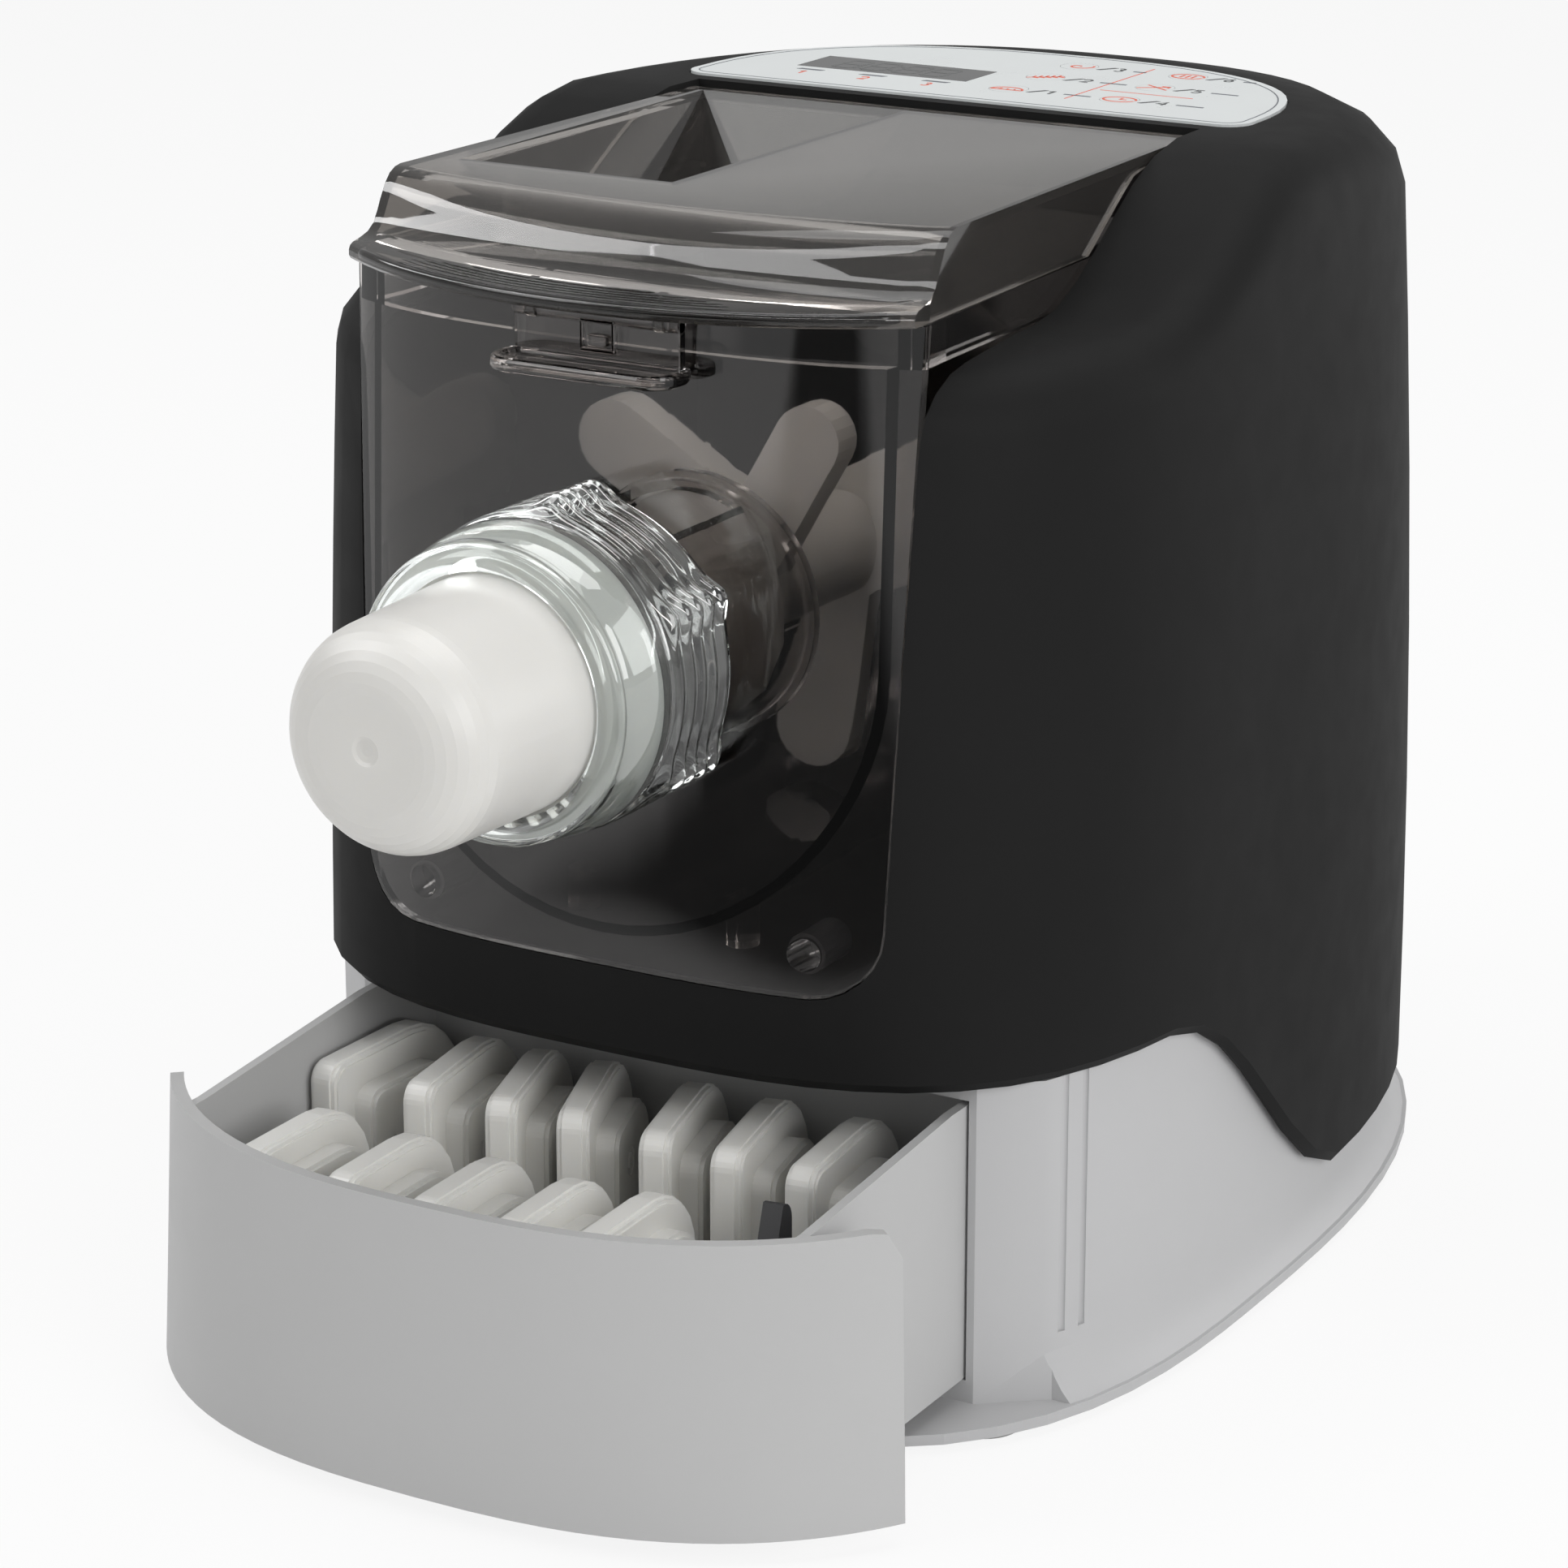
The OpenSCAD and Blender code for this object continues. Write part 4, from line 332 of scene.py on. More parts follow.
def turns(steps):
    """Angles in radians all the way round."""
    return [2 * math.pi * k / steps for k in range(steps)]


def arc(cx, cy, r, a0, a1, steps, squeeze=1.0):
    """Points on an arc in degrees, squeezed along y."""
    angles = [math.radians(a0 + (a1 - a0) * k / steps) for k in range(steps + 1)]
    return [(cx + r * math.cos(a), cy + squeeze * r * math.sin(a)) for a in angles]


def bar_cut(x, y, z, r, steps):
    """One round section across a bar that runs along X."""
    return [(x, y + r * math.cos(a), z + r * math.sin(a)) for a in turns(steps)]


ROD_STEPS, ROD_END = 20, 0.86


def rod(x0, x1, y, z, r):
    """A round bar along X with drawn-in ends."""
    ends = [(x0, r * ROD_END), (x0 + r * 0.15, r), (x1 - r * 0.15, r), (x1, r * ROD_END)]
    return loft([bar_cut(x, y, z, q, ROD_STEPS) for x, q in ends])


# ---------------------------------------------------------------- ring nut
nut_lo, nut_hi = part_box("ring_nut")
cap_lo, cap_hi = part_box("outlet_cap")
axis_z = (cap_lo.z + cap_hi.z) / 2 * MM
nut_rear = nut_hi.y * MM
nut_len = (nut_hi.y - nut_lo.y) * MM
NUT_BORE, NUT_REAR_R, NUT_LIP_BORE, NUT_LIP, NUT_STEPS = 33.8, 36.2, 28.4, 2.2, 240
RIDGES, RIDGE_PITCH, RIDGE_START, RIDGE_ROOT, RIDGE_DEPTH, RIDGE_CUTS = 5, 4.7, 1.0, 35.65, 1.9, 10
RIDGE_BLUNT, ROOT_SHARE = 0.7, 0.55
LOBES, LOBE_FIRST, LOBE_HEIGHT, LOBE_WIDTH, LOBE_END, LOBE_FADE = 6, 27, 2.8, 6.5, 18, 8
LOBE_FOOT, LOBE_FOOT_WIDTH = 0.5, 15
SKIRT_R, SKIRT_TAPER, SKIRT_SWELL, SKIRT_CUTS, SKIRT_END = 36.5, 1.9, 0.5, 12, 4.6
# The front rim, its lip and the inside corner, as (depth from the front, radius)
NUT_RIM = [(-4.2, 34.1), (-3.6, 34.0), (-3.2, 34.5), (-2.4, 35.0), (-1.2, 35.0), (-0.4, 34.6), (0, 33.9),
           (0, 29.2), (-0.5, NUT_LIP_BORE), (-NUT_LIP, NUT_LIP_BORE), (-NUT_LIP, NUT_BORE - 0.8),
           (-NUT_LIP - 0.8, NUT_BORE)]
ridges_end = RIDGE_START + RIDGE_PITCH * RIDGES


def nut_section():
    """Outline of the nut's wall as (depth from the rear, radius, share of the lobes)."""
    points = [(0.0, NUT_BORE, 0), (0.0, NUT_REAR_R, 1)]
    steps = RIDGES * RIDGE_CUTS
    for k in range(steps + 1):
        d = RIDGE_START + (ridges_end - RIDGE_START) * k / steps
        rib = math.sin(math.pi * (k % RIDGE_CUTS) / RIDGE_CUTS) ** RIDGE_BLUNT
        share = 1 if d < LOBE_END else max(0, 0.5 + 0.5 * math.cos(math.pi * (d - LOBE_END) / LOBE_FADE))
        points.append((d, RIDGE_ROOT + RIDGE_DEPTH * rib, share * (ROOT_SHARE + (1 - ROOT_SHARE) * rib)))
    for k in range(1, SKIRT_CUTS + 1):
        u = k / SKIRT_CUTS
        d = ridges_end + (nut_len - SKIRT_END - ridges_end) * u
        r = SKIRT_R - SKIRT_TAPER * u ** 2.2 + SKIRT_SWELL * math.sin(math.pi * u)
        points.append((d, r, max(0, 0.1 - 0.2 * u)))
    return points + [(nut_len + d, r, 0) for d, r in NUT_RIM]


def lobe(a):
    """Height of the finger lobes at an angle in radians."""
    pitch = 360 / LOBES
    off = (math.degrees(a) - LOBE_FIRST + pitch / 2) % pitch - pitch / 2
    return LOBE_HEIGHT * math.exp(-(off / LOBE_WIDTH) ** 2) + LOBE_FOOT * math.exp(-(off / LOBE_FOOT_WIDTH) ** 2)


def on_axis(a, r, y):
    """A point round the outlet's axis."""
    return (r * math.cos(a), y, axis_z + r * math.sin(a))


wall = nut_section()
nut_skin = loft([[on_axis(a, r + share * lobe(a), nut_rear - d) for d, r, share in wall]
                 for a in turns(NUT_STEPS)], ring=True)
nut = piece("ring_nut_glass", nut_skin, "nut", "nut")
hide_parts("ring_nut")

# Thread on the spout, seen through the nut
THREAD_TURNS, THREAD_STEPS, THREAD_PITCH, THREAD_START, THREAD_TALL, THREAD_RUN_OUT = 4, 48, 4.0, 4, 0.42, 10
THREAD_HALF, CREST_HALF, THREAD_SUNK = 0.9, 0.35, -0.2
spout_r = NUT_BORE - 0.6
thread_cuts = THREAD_TURNS * THREAD_STEPS
helix = []
for k in range(thread_cuts + 1):
    a = 2 * math.pi * k / THREAD_STEPS
    y = nut_rear - THREAD_START - THREAD_PITCH * k / THREAD_STEPS
    tall = THREAD_TALL * min(1, k / THREAD_RUN_OUT, (thread_cuts - k) / THREAD_RUN_OUT) + 0.02
    section = [(THREAD_SUNK, THREAD_HALF), (tall, CREST_HALF), (tall, -CREST_HALF), (THREAD_SUNK, -THREAD_HALF)]
    helix.append([on_axis(a, spout_r + r, y + w) for r, w in section])
piece("spout_thread", loft(helix), "smoke", "machine")

# ---------------------------------------------------------------- dark sleeves on the chamber's two pegs
PEG_TOP_Z, PEG_FRONT_Y, PEG_END_Y, PEG_NEAR, PEG_R, PEG_GAP = 135, -134.0, -122.2, 0.3, 4.05, 0.1
SLEEVE_T, SLEEVE_END, SLEEVE_STEPS, PINHOLE = 0.85, 0.8, 32, 0.05
peg_ends = [v.co * MM for v in nodes["mixing_chamber"].data.vertices
            if abs(v.co.y * MM - PEG_END_Y) < PEG_NEAR and 0 < v.co.z * MM < PEG_TOP_Z]
sleeve_r, sleeve_end = PEG_R + SLEEVE_T, PEG_END_Y + SLEEVE_END
cup = [(PEG_R, PEG_FRONT_Y), (sleeve_r, PEG_FRONT_Y), (sleeve_r, sleeve_end), (PINHOLE, sleeve_end),
       (PINHOLE, PEG_END_Y + PEG_GAP), (PEG_R, PEG_END_Y + PEG_GAP)]
sleeves = []
for side in (-1, 1):
    xs = [p.x for p in peg_ends if p.x * side > 0]
    zs = [p.z for p in peg_ends if p.x * side > 0]
    cx, cz = (min(xs) + max(xs)) / 2, (min(zs) + max(zs)) / 2
    sleeves.append(loft([[(cx + r * math.cos(a), y, cz + r * math.sin(a)) for a in turns(SLEEVE_STEPS)]
                         for r, y in cup], ring=True))
piece("peg_sleeves", join(sleeves), "dark", "machine", smooth=False)

# ---------------------------------------------------------------- lid latch
latch_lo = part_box("lid_latch")[0]
pin_lo, pin_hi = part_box("latch_pin")
pin_y, pin_z = (pin_lo.y + pin_hi.y) / 2 * MM, (pin_lo.z + pin_hi.z) / 2 * MM
LATCH_HALF, LATCH_T = 22.0, 2.4
SHELF_HALF, SHELF_ROUND, SHELF_T, SHELF_OUT = 24.6, 7.0, 3.4, 4.6
plate_rear = pin_y + LATCH_T / 2
plate_front = plate_rear - LATCH_T
shelf_z0 = latch_lo.z * MM
shelf_z1 = shelf_z0 + SHELF_T
shelf_front = latch_lo.y * MM - SHELF_OUT


def shelf_outline(inset):
    """The finger shelf seen from above, drawn in by the inset."""
    w, r, y = SHELF_HALF - inset, SHELF_ROUND - inset, shelf_front + inset
    left = arc(-w + r, y + r, r, 180, 270, 10)
    right = arc(w - r, y + r, r, 270, 360, 10)
    rear = plate_rear - inset * 0.5
    return [(-w + 1, rear), (-w, rear - 3)] + left + right + [(w, rear - 3), (w - 1, rear)]


def block(x0, x1, z0, z1, y0, y1, r=0.6, soft=0.25):
    """An upright plate in X and Z with rounded corners and a softened front, from y0 out to y1."""
    corners = [(x1 - r, z1 - r, 0), (x0 + r, z1 - r, 90), (x0 + r, z0 + r, 180), (x1 - r, z0 + r, 270)]
    loop = [q for cx, cz, a in corners for q in arc(cx, cz, r, a, a + 90, 4)]
    mx, mz = (x0 + x1) / 2, (z0 + z1) / 2
    return loft([[(x - math.copysign(k, x - mx), y, z - math.copysign(k, z - mz)) for x, z in loop]
                 for y, k in [(y0, 0), (y1 + soft, 0), (y1, soft)]])


# The shelf from its underside up, with a rounded rim and a shallow hollow, as (inset, height)
shelf_levels = [(0.9, shelf_z0), (0.3, shelf_z0 + 0.35), (0, shelf_z0 + 1), (0, shelf_z1 - 1),
                (0.3, shelf_z1 - 0.35), (0.9, shelf_z1), (2.2, shelf_z1), (2.8, shelf_z1 - 0.5),
                (3.2, shelf_z1 - 1.1)]
latch_parts = [loft([[(x, y, z) for x, y in shelf_outline(inset)] for inset, z in shelf_levels]),
               block(-LATCH_HALF, LATCH_HALF, shelf_z0 + 1, pin_z + 1.2, plate_rear, plate_front)]
# The catch: a frame of four bars and a hook, as x and z from its middle, how far it stands out, rounding
CATCH_X, CATCH_UP, CATCH_SUNK = 0.7, 5.2, 0.2
CATCH = [(-4.6, 4.6, 3.0, 3.9, 0.9, 0.4), (-4.6, 4.6, -3.9, -3.0, 0.9, 0.4), (-4.6, -3.8, -3.4, 3.4, 0.9, 0.35),
         (3.8, 4.6, -3.4, 3.4, 0.9, 0.35), (-2.4, 2.6, -2.4, 0.2, 1.4, 0.5)]
catch_z = shelf_z1 + CATCH_UP
for x0, x1, z0, z1, out, r in CATCH:
    latch_parts.append(block(CATCH_X + x0, CATCH_X + x1, catch_z + z0, catch_z + z1, plate_front + CATCH_SUNK,
                             plate_front - out, r))
KNUCKLES = [(-LATCH_HALF, -18.4), (-15.6, 15.6), (18.4, LATCH_HALF)]
for x0, x1 in KNUCKLES:
    latch_parts.append(rod(x0, x1, pin_y, pin_z, LATCH_T * 0.98))
latch = piece("latch_shelf", join(latch_parts), "smoke", "latch", smooth=False)
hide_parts("lid_latch")

# ---------------------------------------------------------------- bead and grip lines on the lid's lip
BEAD_HALF, BEAD_R, BEAD_OUT, BEAD_CUTS, BEAD_END, LIP_EDGE_Z = 72.0, 1.45, 0.15, 60, 0.5, 267.4
GRIP_LINES, GRIP_FIRST, GRIP_STEP, GRIP_HALF, GRIP_R, GRIP_END = 6, 1.8, 1.5, 46.0, 0.3, 0.4
GRIP_CUTS, GRIP_LEFT, BAR_STEPS = 40, -8.0, 16
FAR_OFF = 300
lid_mesh = nodes["lid"].data
lid_place = nodes["lid"].matrix_world
lid_tree = BVHTree.FromPolygons([lid_place @ v.co for v in lid_mesh.vertices],
                                [list(p.vertices) for p in lid_mesh.polygons])


def lid_hit(start, direction):
    """Where a ray meets the lid, in millimetres."""
    return lid_tree.ray_cast(Vector(start) / MM, Vector(direction))[0] * MM


def lip_edge(x):
    """Y of the lip's front edge."""
    return lid_hit((x, -FAR_OFF, LIP_EDGE_Z), (0, 1, 0)).y


bead = []
for i in range(BEAD_CUTS + 1):
    x = BEAD_HALF * (2 * i / BEAD_CUTS - 1)
    r = BEAD_R * (BEAD_END if i in (0, BEAD_CUTS) else 1)
    bead.append(bar_cut(x, lip_edge(x) + BEAD_R - BEAD_OUT, LIP_EDGE_Z, r, BAR_STEPS))
lip_parts = [loft(bead)]
for k in range(GRIP_LINES):
    half = GRIP_HALF * math.sqrt(1 - (k / GRIP_LINES) ** 2)
    line = []
    for i in range(GRIP_CUTS + 1):
        x = GRIP_LEFT + half * (2 * i / GRIP_CUTS - 1)
        y = lip_edge(x) + GRIP_FIRST + GRIP_STEP * k
        z = lid_hit((x, y, FAR_OFF), (0, 0, -1)).z
        r = GRIP_R * (GRIP_END if i in (0, GRIP_CUTS) else 1)
        line.append(bar_cut(x, y, z, r, BAR_STEPS))
    lip_parts.append(loft(line))
piece("lid_lip_lines", join(lip_parts), "lid_dark", "lid")

# ---------------------------------------------------------------- control panel marks
panel_lo, panel_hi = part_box("control_fascia")
panel_z = panel_hi.z * MM
MARK_IN, MARK_T = 0.03, 0.06
z_mark = (panel_z - MARK_IN, panel_z + MARK_T)
half_w, front_y, rear_y = panel_hi.x * MM, panel_lo.y * MM, panel_hi.y * MM
PANEL_ROUND, PANEL_POWER, OVER_STEPS, CORNER_STEPS = 7, 0.8, 48, 8
THIN, BORDER_IN = 0.35, 2.2


def spow(v, e):
    """A power that keeps the sign."""
    return math.copysign(abs(v) ** e, v)


def panel_outline(inset):
    """The panel seen from above, drawn in by the inset: a superellipse with a rounded straight front."""
    w, f, r = half_w - inset, front_y + inset, PANEL_ROUND - inset
    d = rear_y - inset - f
    over = [(w * spow(math.cos(a), PANEL_POWER), f + r + (d - r) * spow(math.sin(a), PANEL_POWER))
            for a in [math.pi * k / OVER_STEPS for k in range(OVER_STEPS + 1)]]
    quarter = [math.pi / 2 * k / CORNER_STEPS for k in range(1, CORNER_STEPS + 1)]
    left = [(-w + r - r * math.cos(a), f + r - r * math.sin(a)) for a in quarter]
    right = [(w - r + r * math.cos(a), f + r - r * math.sin(a)) for a in quarter[::-1]]
    return over + left + right


def mark(name, parts, material, body="machine"):
    """A raised mark of the panel or a key from its plates."""
    return piece(name, join(parts), material, body, smooth=False)


def slanted(x, y, w, h, lean=0.7):
    """A short slanted bar as a four-cornered plate."""
    dx = lean * h / 2
    return prism([(x - w / 2 - dx, y - h / 2), (x + w / 2 - dx, y - h / 2), (x + w / 2 + dx, y + h / 2),
                  (x - w / 2 + dx, y + h / 2)], *z_mark)


# Lines of each numeral in a square of side 1
NUMERALS = {
    1: [[(0.15, 0.75), (0.5, 1), (0.5, 0)]],
    2: [[*arc(0.4, 0.68, 0.32, 170, -30, 10), (0.1, 0), (0.75, 0)]],
    3: [[*arc(0.38, 0.74, 0.27, 140, -90, 10)], [*arc(0.38, 0.26, 0.29, 90, -140, 10)]],
    4: [[(0.6, 0), (0.6, 1), (0.05, 0.3), (0.8, 0.3)]],
    5: [[(0.7, 1), (0.2, 1), (0.14, 0.55), *arc(0.38, 0.32, 0.32, 110, -140, 12)]],
    6: [[(0.62, 0.98), (0.3, 0.7), *arc(0.4, 0.3, 0.3, 150, 510, 18)]],
}
NUMERAL_WIDE = 0.8


def numeral(n, x, y, h, width):
    """A plain number of height h with its lower left corner at (x, y)."""
    return [ribbon([(x + px * h * NUMERAL_WIDE, y + py * h) for px, py in line], width, *z_mark)
            for line in NUMERALS[n]]


# Seven-segment figures in the display window
disp_lo, disp_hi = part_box("display_window")
DISPLAY_IN, DISPLAY_T = 0.02, 0.03
disp_z = (disp_hi.z * MM - DISPLAY_IN, disp_hi.z * MM + DISPLAY_T)
disp_x, disp_y = (disp_lo.x + disp_hi.x) / 2 * MM, (disp_lo.y + disp_hi.y) / 2 * MM
DIGIT_TALL, DIGIT_WIDE, SEG_WIDE, SEG_GAP, SEG_POINT = 0.62, 0.55, 0.11, 0.62, 0.3
DIGIT_PLACES, DIGIT_PITCH, DIGIT_LEAN, DOT_UP, DOT_R = (-1.62, -0.58, 0.58, 1.62), 1.35, 0.1, 0.24, 0.6
digit_h = (disp_hi.y - disp_lo.y) * MM * DIGIT_TALL
digit_w, seg = digit_h * DIGIT_WIDE, digit_h * SEG_WIDE
# The seven segments' ends, in half widths and half heights of a figure
SEGMENTS = [(-1, 1, 1, 1), (-1, 0, 1, 0), (-1, -1, 1, -1), (-1, 0, -1, 1), (1, 0, 1, 1), (-1, -1, -1, 0),
            (1, -1, 1, 0)]


def segment(x0, y0, x1, y1):
    """One lamp segment, pointed at both ends."""
    dx, dy = x1 - x0, y1 - y0
    length = math.hypot(dx, dy)
    ux, uy = dx / length, dy / length
    vx, vy = -uy * seg / 2, ux * seg / 2
    g = seg * SEG_GAP
    tip = g * SEG_POINT
    a, b = (x0 + ux * tip, y0 + uy * tip), (x1 - ux * tip, y1 - uy * tip)
    c, d = (x0 + ux * g, y0 + uy * g), (x1 - ux * g, y1 - uy * g)
    return prism([a, (c[0] - vx, c[1] - vy), (d[0] - vx, d[1] - vy), b, (d[0] + vx, d[1] + vy),
                  (c[0] + vx, c[1] + vy)], *disp_z)


figures = []
hw, hh = digit_w / 2, digit_h / 2
for k in DIGIT_PLACES:
    cx = disp_x + k * digit_w * DIGIT_PITCH
    for x0, y0, x1, y1 in SEGMENTS:
        figures.append(segment(cx + x0 * hw + DIGIT_LEAN * y0 * hh, disp_y + y0 * hh,
                               cx + x1 * hw + DIGIT_LEAN * y1 * hh, disp_y + y1 * hh))
for k in (-1, 1):
    dot = arc(disp_x + 0.05 * k * digit_h, disp_y + k * digit_h * DOT_UP, seg * DOT_R, 0, 345, 15)
    figures.append(prism(dot, *disp_z))
mark("display_figures", figures, "segment")

# Border, and dashes with numbers under the display
DASH_DOWN, DASH_PITCH, DASH_W, DASH_H = 4.0, 18.5, 7.0, 1.3
STEP_LEFT, STEP_DOWN, STEP_H, STEP_LINE = 1.5, 6.4, 3.8, 0.55
mark("panel_border", [ribbon(panel_outline(BORDER_IN), THIN, *z_mark, closed=True)], "mark_thin")
dash_y = disp_lo.y * MM - DASH_DOWN
dash_xs = [disp_x - DASH_PITCH, disp_x, disp_x + DASH_PITCH]
mark("panel_dashes", [slanted(x, dash_y, DASH_W, DASH_H) for x in dash_xs], "mark_thin")
steps = [numeral(n + 1, x - STEP_LEFT, dash_y - STEP_DOWN, STEP_H, STEP_LINE) for n, x in enumerate(dash_xs)]
mark("panel_step_numbers", sum(steps, []), "orange")


# Generic pictures on the keys, in the key's own square of side 2, as (points, share of the line's width)
def spiral():
    angles = [k * 0.3 for k in range(2, 24)]
    return [([(0.13 * a * math.cos(a), 0.11 * a * math.sin(a)) for a in angles], 1)]


def ear():
    lines = [([(-0.9, -0.6), (0.9, 0.6)], 0.8)]
    for k in range(-2, 3):
        x, y = k * 0.3, k * 0.2
        lines += [([(x, y), (x - 0.02, y + 0.45)], 0.9), ([(x, y), (x + 0.4, y - 0.08)], 0.9)]
    return lines


def pouch():
    lines = [(arc(0, -0.35, 0.95, 0, 180, 20, 0.8), 1), ([(-0.95, -0.35), (0.95, -0.35)], 1)]
    return lines + [([(x, -0.35), (x * 0.8, -0.02)], 0.7) for x in (-0.5, 0, 0.5)]


def plate():
    """The round outline that bowl and clock share."""
    return (arc(0, 0, 0.95, 0, 345, 23, 0.75), 1)


def bowl():
    return [plate()] + [([(x, -0.35), (x, 0.35)], 1) for x in (-0.35, 0, 0.35)]


def clock():
    return [plate(), ([(0, 0.45), (0, 0), (0.4, 0)], 0.9)]


def fork():
    lines = [([(-0.9, -0.55), (0.7, 0.5)], 0.9), ([(-0.7, 0.6), (0.9, -0.5)], 0.9)]
    return lines + [([(0.2, 0.5), (0.7, 0.5), (0.72, 0.1)], 0.9)]


ICON_SIZE, ICON_LINE, BAR_AT, NUMBER_AT, LINE_AT = 4.6, 0.62, 8.2, 10.6, 16.0
BAR_W, BAR_H, NUMBER_DOWN, NUMBER_H, NUMBER_LINE, LINE_DOWN, LINE_W = 1.2, 4.6, 2.1, 4.2, 0.65, 0.4, 0.9
ROWS = 3
# Length of the line beside the keys of each row, shortest where the panel narrows
LINE_LONG = [7.5, 7.5, 3.5]
for i, draw in enumerate([pouch, ear, spiral, clock, fork, bowl]):
    key = "key_%d" % (i + 1)
    lo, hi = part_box(key)
    kx, ky = (lo.x + hi.x) / 2 * MM, (lo.y + hi.y) / 2 * MM
    lines = [ribbon([(kx + x * ICON_SIZE, ky + y * ICON_SIZE) for x, y in points], ICON_LINE * w, *z_mark)
             for points, w in draw()]
    mark(key + "_picture", lines, "orange", key + "_body")
    mark(key + "_bar", [slanted(kx + BAR_AT, ky, BAR_W, BAR_H)], "mark")
    mark(key + "_number", numeral(i + 1, kx + NUMBER_AT, ky - NUMBER_DOWN, NUMBER_H, NUMBER_LINE), "mark")
    line_x, line_y = kx + LINE_AT, ky - LINE_DOWN
    beside = [(line_x, line_y), (line_x + LINE_LONG[i % ROWS], line_y)]
    mark(key + "_line", [ribbon(beside, LINE_W, *z_mark)], "mark_thin")

# Thin lines between the two columns of keys and between two rows
SPLIT_RIGHT, SPLIT_OVER, ROW_LINE_GAP, ROW_LINE_END = 3.2, 1, 2, 28
k1, k4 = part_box("key_1"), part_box("key_4")
split_x = (k1[1].x + k4[0].x) / 2 * MM + SPLIT_RIGHT
low_y, high_y = k1[0].y * MM - SPLIT_OVER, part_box("key_3")[1].y * MM + SPLIT_OVER
mid_y = (k1[1].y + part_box("key_2")[0].y) / 2 * MM
dividers = [[(split_x, low_y), (split_x, high_y)],
            [(split_x + ROW_LINE_GAP, mid_y), (split_x + ROW_LINE_END, mid_y)]]
mark("panel_dividers", [ribbon(ends, THIN, *z_mark) for ends in dividers], "orange")


# ---------------------------------------------------------------- stage and light
def plane(name, size, z, material):
    """A level square of the stage."""
    me = bpy.data.meshes.new(name)
    s = size / 2
    me.from_pydata([(-s, -s, z), (s, -s, z), (s, s, z), (-s, s, z)], [], [(0, 1, 2, 3)])
    o = bpy.data.objects.new(name, me)
    scene.collection.objects.link(o)
    me.materials.append(material)
    return o


def math_node(tree, operation, first, second, x, y):
    """A math node on a socket and another socket or a number."""
    n = add(tree, "ShaderNodeMath", x, y, operation=operation)
    tree.links.new(first, n.inputs[0])
    if isinstance(second, float):
        n.inputs[1].default_value = second
    else:
        tree.links.new(second, n.inputs[1])
    return n.outputs[0]


def mix_shader(tree, fac, first, second, end):
    """Two shaders mixed into the tree's output node."""
    mixer = add(tree, "ShaderNodeMixShader", 400, 0)
    tree.links.new(fac, mixer.inputs["Fac"])
    tree.links.new(first, mixer.inputs[1])
    tree.links.new(second, mixer.inputs[2])
    tree.links.new(mixer.outputs["Shader"], end.inputs["Surface"])


# The camera sees a nearly white floor. Mirrored in the machine the floor is dark in the middle and white to
# the left, to the right and close by, as a studio's cards are.
FLOOR_WHITE = 0.88
FLOOR_COLOUR = (0.86, 0.86, 0.86, 1)
FLOOR_SIZE, FLOOR_DOWN = 12, -0.0004
# Start and end of each card along its axis in metres, and its brightness there
LEFT_CARD, RIGHT_CARD, NEAR_CARD = (-0.23, -0.31, 0.12, 0.9), (0.2, 0.4, 0, 0.85), (-0.58, -0.49, 0, 0.8)
floor_m, t = new_material("floor_white")
out = add(t, "ShaderNodeOutputMaterial", 600, 0)
matt = add(t, "ShaderNodeBsdfDiffuse", 100, 100)
matt.inputs["Color"].default_value = FLOOR_COLOUR
glow = add(t, "ShaderNodeEmission", 100, -100)
glow.inputs["Color"].default_value = (1, 1, 1, 1)
rays = add(t, "ShaderNodeLightPath", -300, 200).outputs
place = add(t, "ShaderNodeNewGeometry", -900, 0)
place_xyz = add(t, "ShaderNodeSeparateXYZ", -700, 0)
t.links.new(place.outputs["Position"], place_xyz.inputs["Vector"])
left_card = map_range(t, place_xyz.outputs["X"], *LEFT_CARD, -500, 0, "SMOOTHSTEP")
right_card = map_range(t, place_xyz.outputs["X"], *RIGHT_CARD, -500, -250, "SMOOTHSTEP")
near_card = map_range(t, place_xyz.outputs["Y"], *NEAR_CARD, -500, -500, "SMOOTHSTEP")
side_cards = math_node(t, "MAXIMUM", left_card, right_card, -300, 0)
cards = math_node(t, "MAXIMUM", side_cards, near_card, -200, -200)
bright = math_node(t, "MAXIMUM", rays["Is Camera Ray"], cards, -100, 0)
t.links.new(bright, glow.inputs["Strength"])
seen = math_node(t, "MULTIPLY", rays["Is Camera Ray"], FLOOR_WHITE, -100, 200)
glow_share = math_node(t, "MAXIMUM", seen, rays["Is Glossy Ray"], 100, 300)
mix_shader(t, glow_share, matt.outputs["BSDF"], glow.outputs["Emission"], out)
plane("floor", FLOOR_SIZE, FLOOR_DOWN, floor_m)

# The world is white to the camera and through clear pieces, and dimmer as a light and when mirrored
WORLD_LIGHT, WORLD_MIRRORED = 0.36, 0.22
world = bpy.data.worlds.new("world")
scene.world = world
world.use_nodes = True
wt = world.node_tree
wt.nodes.clear()
world_out = add(wt, "ShaderNodeOutputWorld", 600, 0)
lights = []
for y, strength in [(100, WORLD_LIGHT), (-100, 1.0)]:
    light = add(wt, "ShaderNodeBackground", 100, y)
    light.inputs["Color"].default_value = (1, 1, 1, 1)
    light.inputs["Strength"].default_value = strength
    lights.append(light.outputs["Background"])
rays = add(wt, "ShaderNodeLightPath", -500, 200).outputs
direct = math_node(wt, "MAXIMUM", rays["Is Camera Ray"], rays["Is Transmission Ray"], -300, 200)
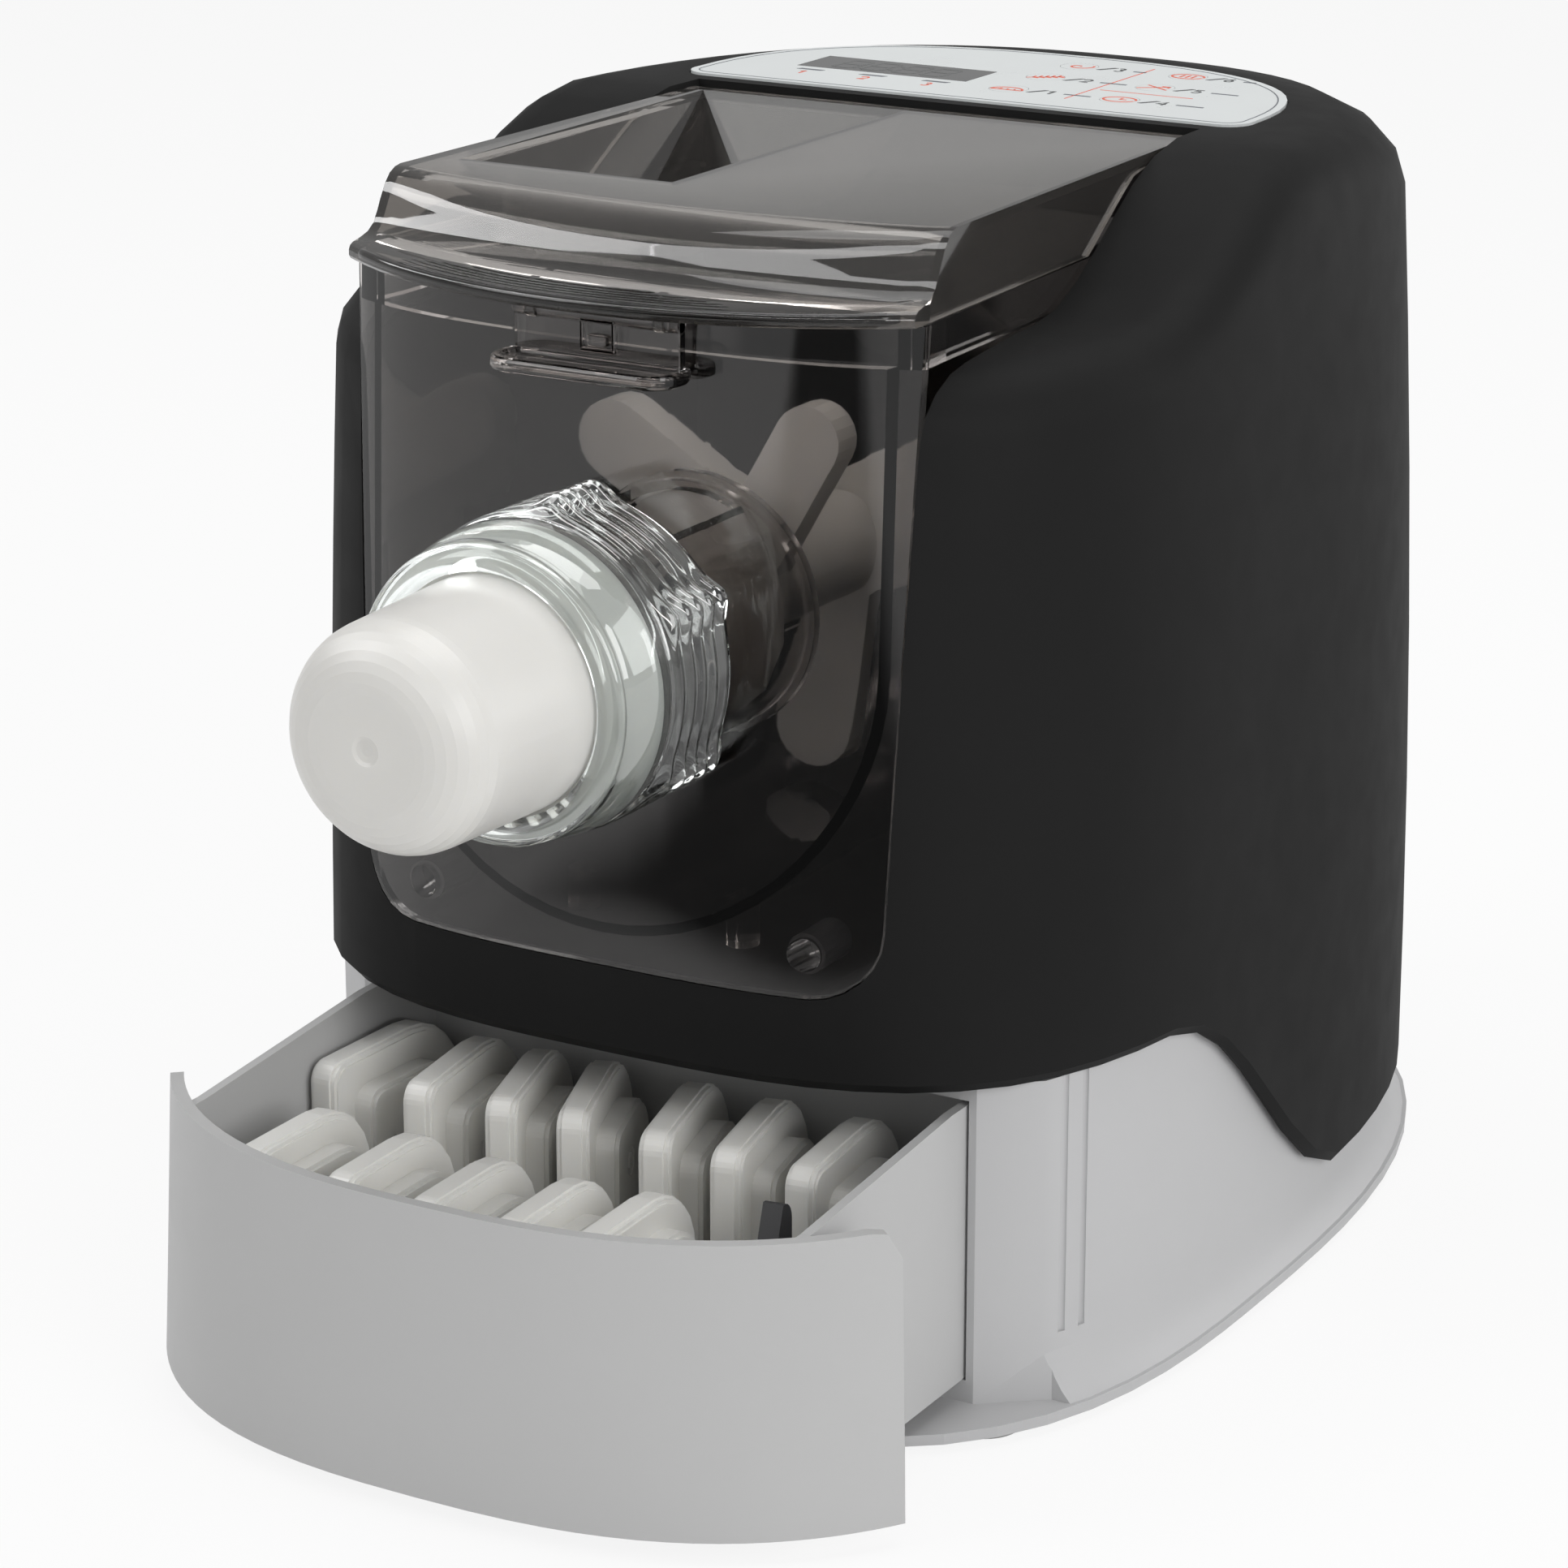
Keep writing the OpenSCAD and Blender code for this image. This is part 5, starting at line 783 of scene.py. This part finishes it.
mirrored = math_node(wt, "MULTIPLY", rays["Is Glossy Ray"], WORLD_MIRRORED, -300, 0)
mix_shader(wt, math_node(wt, "MAXIMUM", direct, mirrored, -100, 200), *lights, world_out)


def softbox(name, place, aim, size, power):
    """A rectangular lamp at a place, turned to shine at aim."""
    d = bpy.data.lights.new(name, "AREA")
    d.shape = "RECTANGLE"
    d.size, d.size_y = size
    d.energy = power
    o = bpy.data.objects.new(name, d)
    scene.collection.objects.link(o)
    o.location = place
    o.rotation_mode = "QUATERNION"
    o.rotation_quaternion = (Vector(place) - Vector(aim)).to_track_quat("Z", "Y")
    return o


def strip(name, start, end, aim, width, power):
    """A long lamp from start to end, turned to shine at aim, that is there for its reflection only."""
    a, b = Vector(start), Vector(end)
    along = (b - a).normalized()
    away = ((a + b) / 2 - Vector(aim)).normalized()
    side = away.cross(along).normalized()
    away = along.cross(side)
    o = softbox(name, (a + b) / 2, aim, ((b - a).length, width), power)
    o.rotation_quaternion = Matrix((along, side, away)).transposed().to_quaternion()
    o.visible_diffuse = False
    o.visible_camera = False
    return o


softbox("key", (-1.4, -1.3, 1.6), (0, -0.05, 0.15), (1.1, 1.1), 13)
softbox("fill", (1.8, -0.8, 0.9), (0, -0.05, 0.15), (1.2, 1.2), 18)
softbox("top", (0.1, 0.3, 1.9), (0, 0, 0.2), (1.4, 1.4), 15)
# The streak on the lid's lip, the lines on the nut's ridges and the sheen on the lid's right flank
LID_AIM, NUT_AIM, FLANK_AIM = (0, -0.13, 0.27), (0, -0.17, 0.19), (0.07, -0.06, 0.27)
STREAK_KNEE = (-0.6, -0.55, 1.33)
strip("strip_left", (-1.35, 0.0, 0.74), STREAK_KNEE, LID_AIM, 0.2, 5)
strip("strip_over", STREAK_KNEE, (0.45, -0.72, 1.4), LID_AIM, 0.2, 4)
strip("strip_nut", (-0.5, -1.3, 1.0), (0.95, -0.75, 0.35), NUT_AIM, 0.05, 2.8)
strip("strip_flank", (0.4, 1.2, 0.42), (1.05, 0.7, 0.42), FLANK_AIM, 0.5, 2.4)

scene.view_settings.view_transform = "Standard"
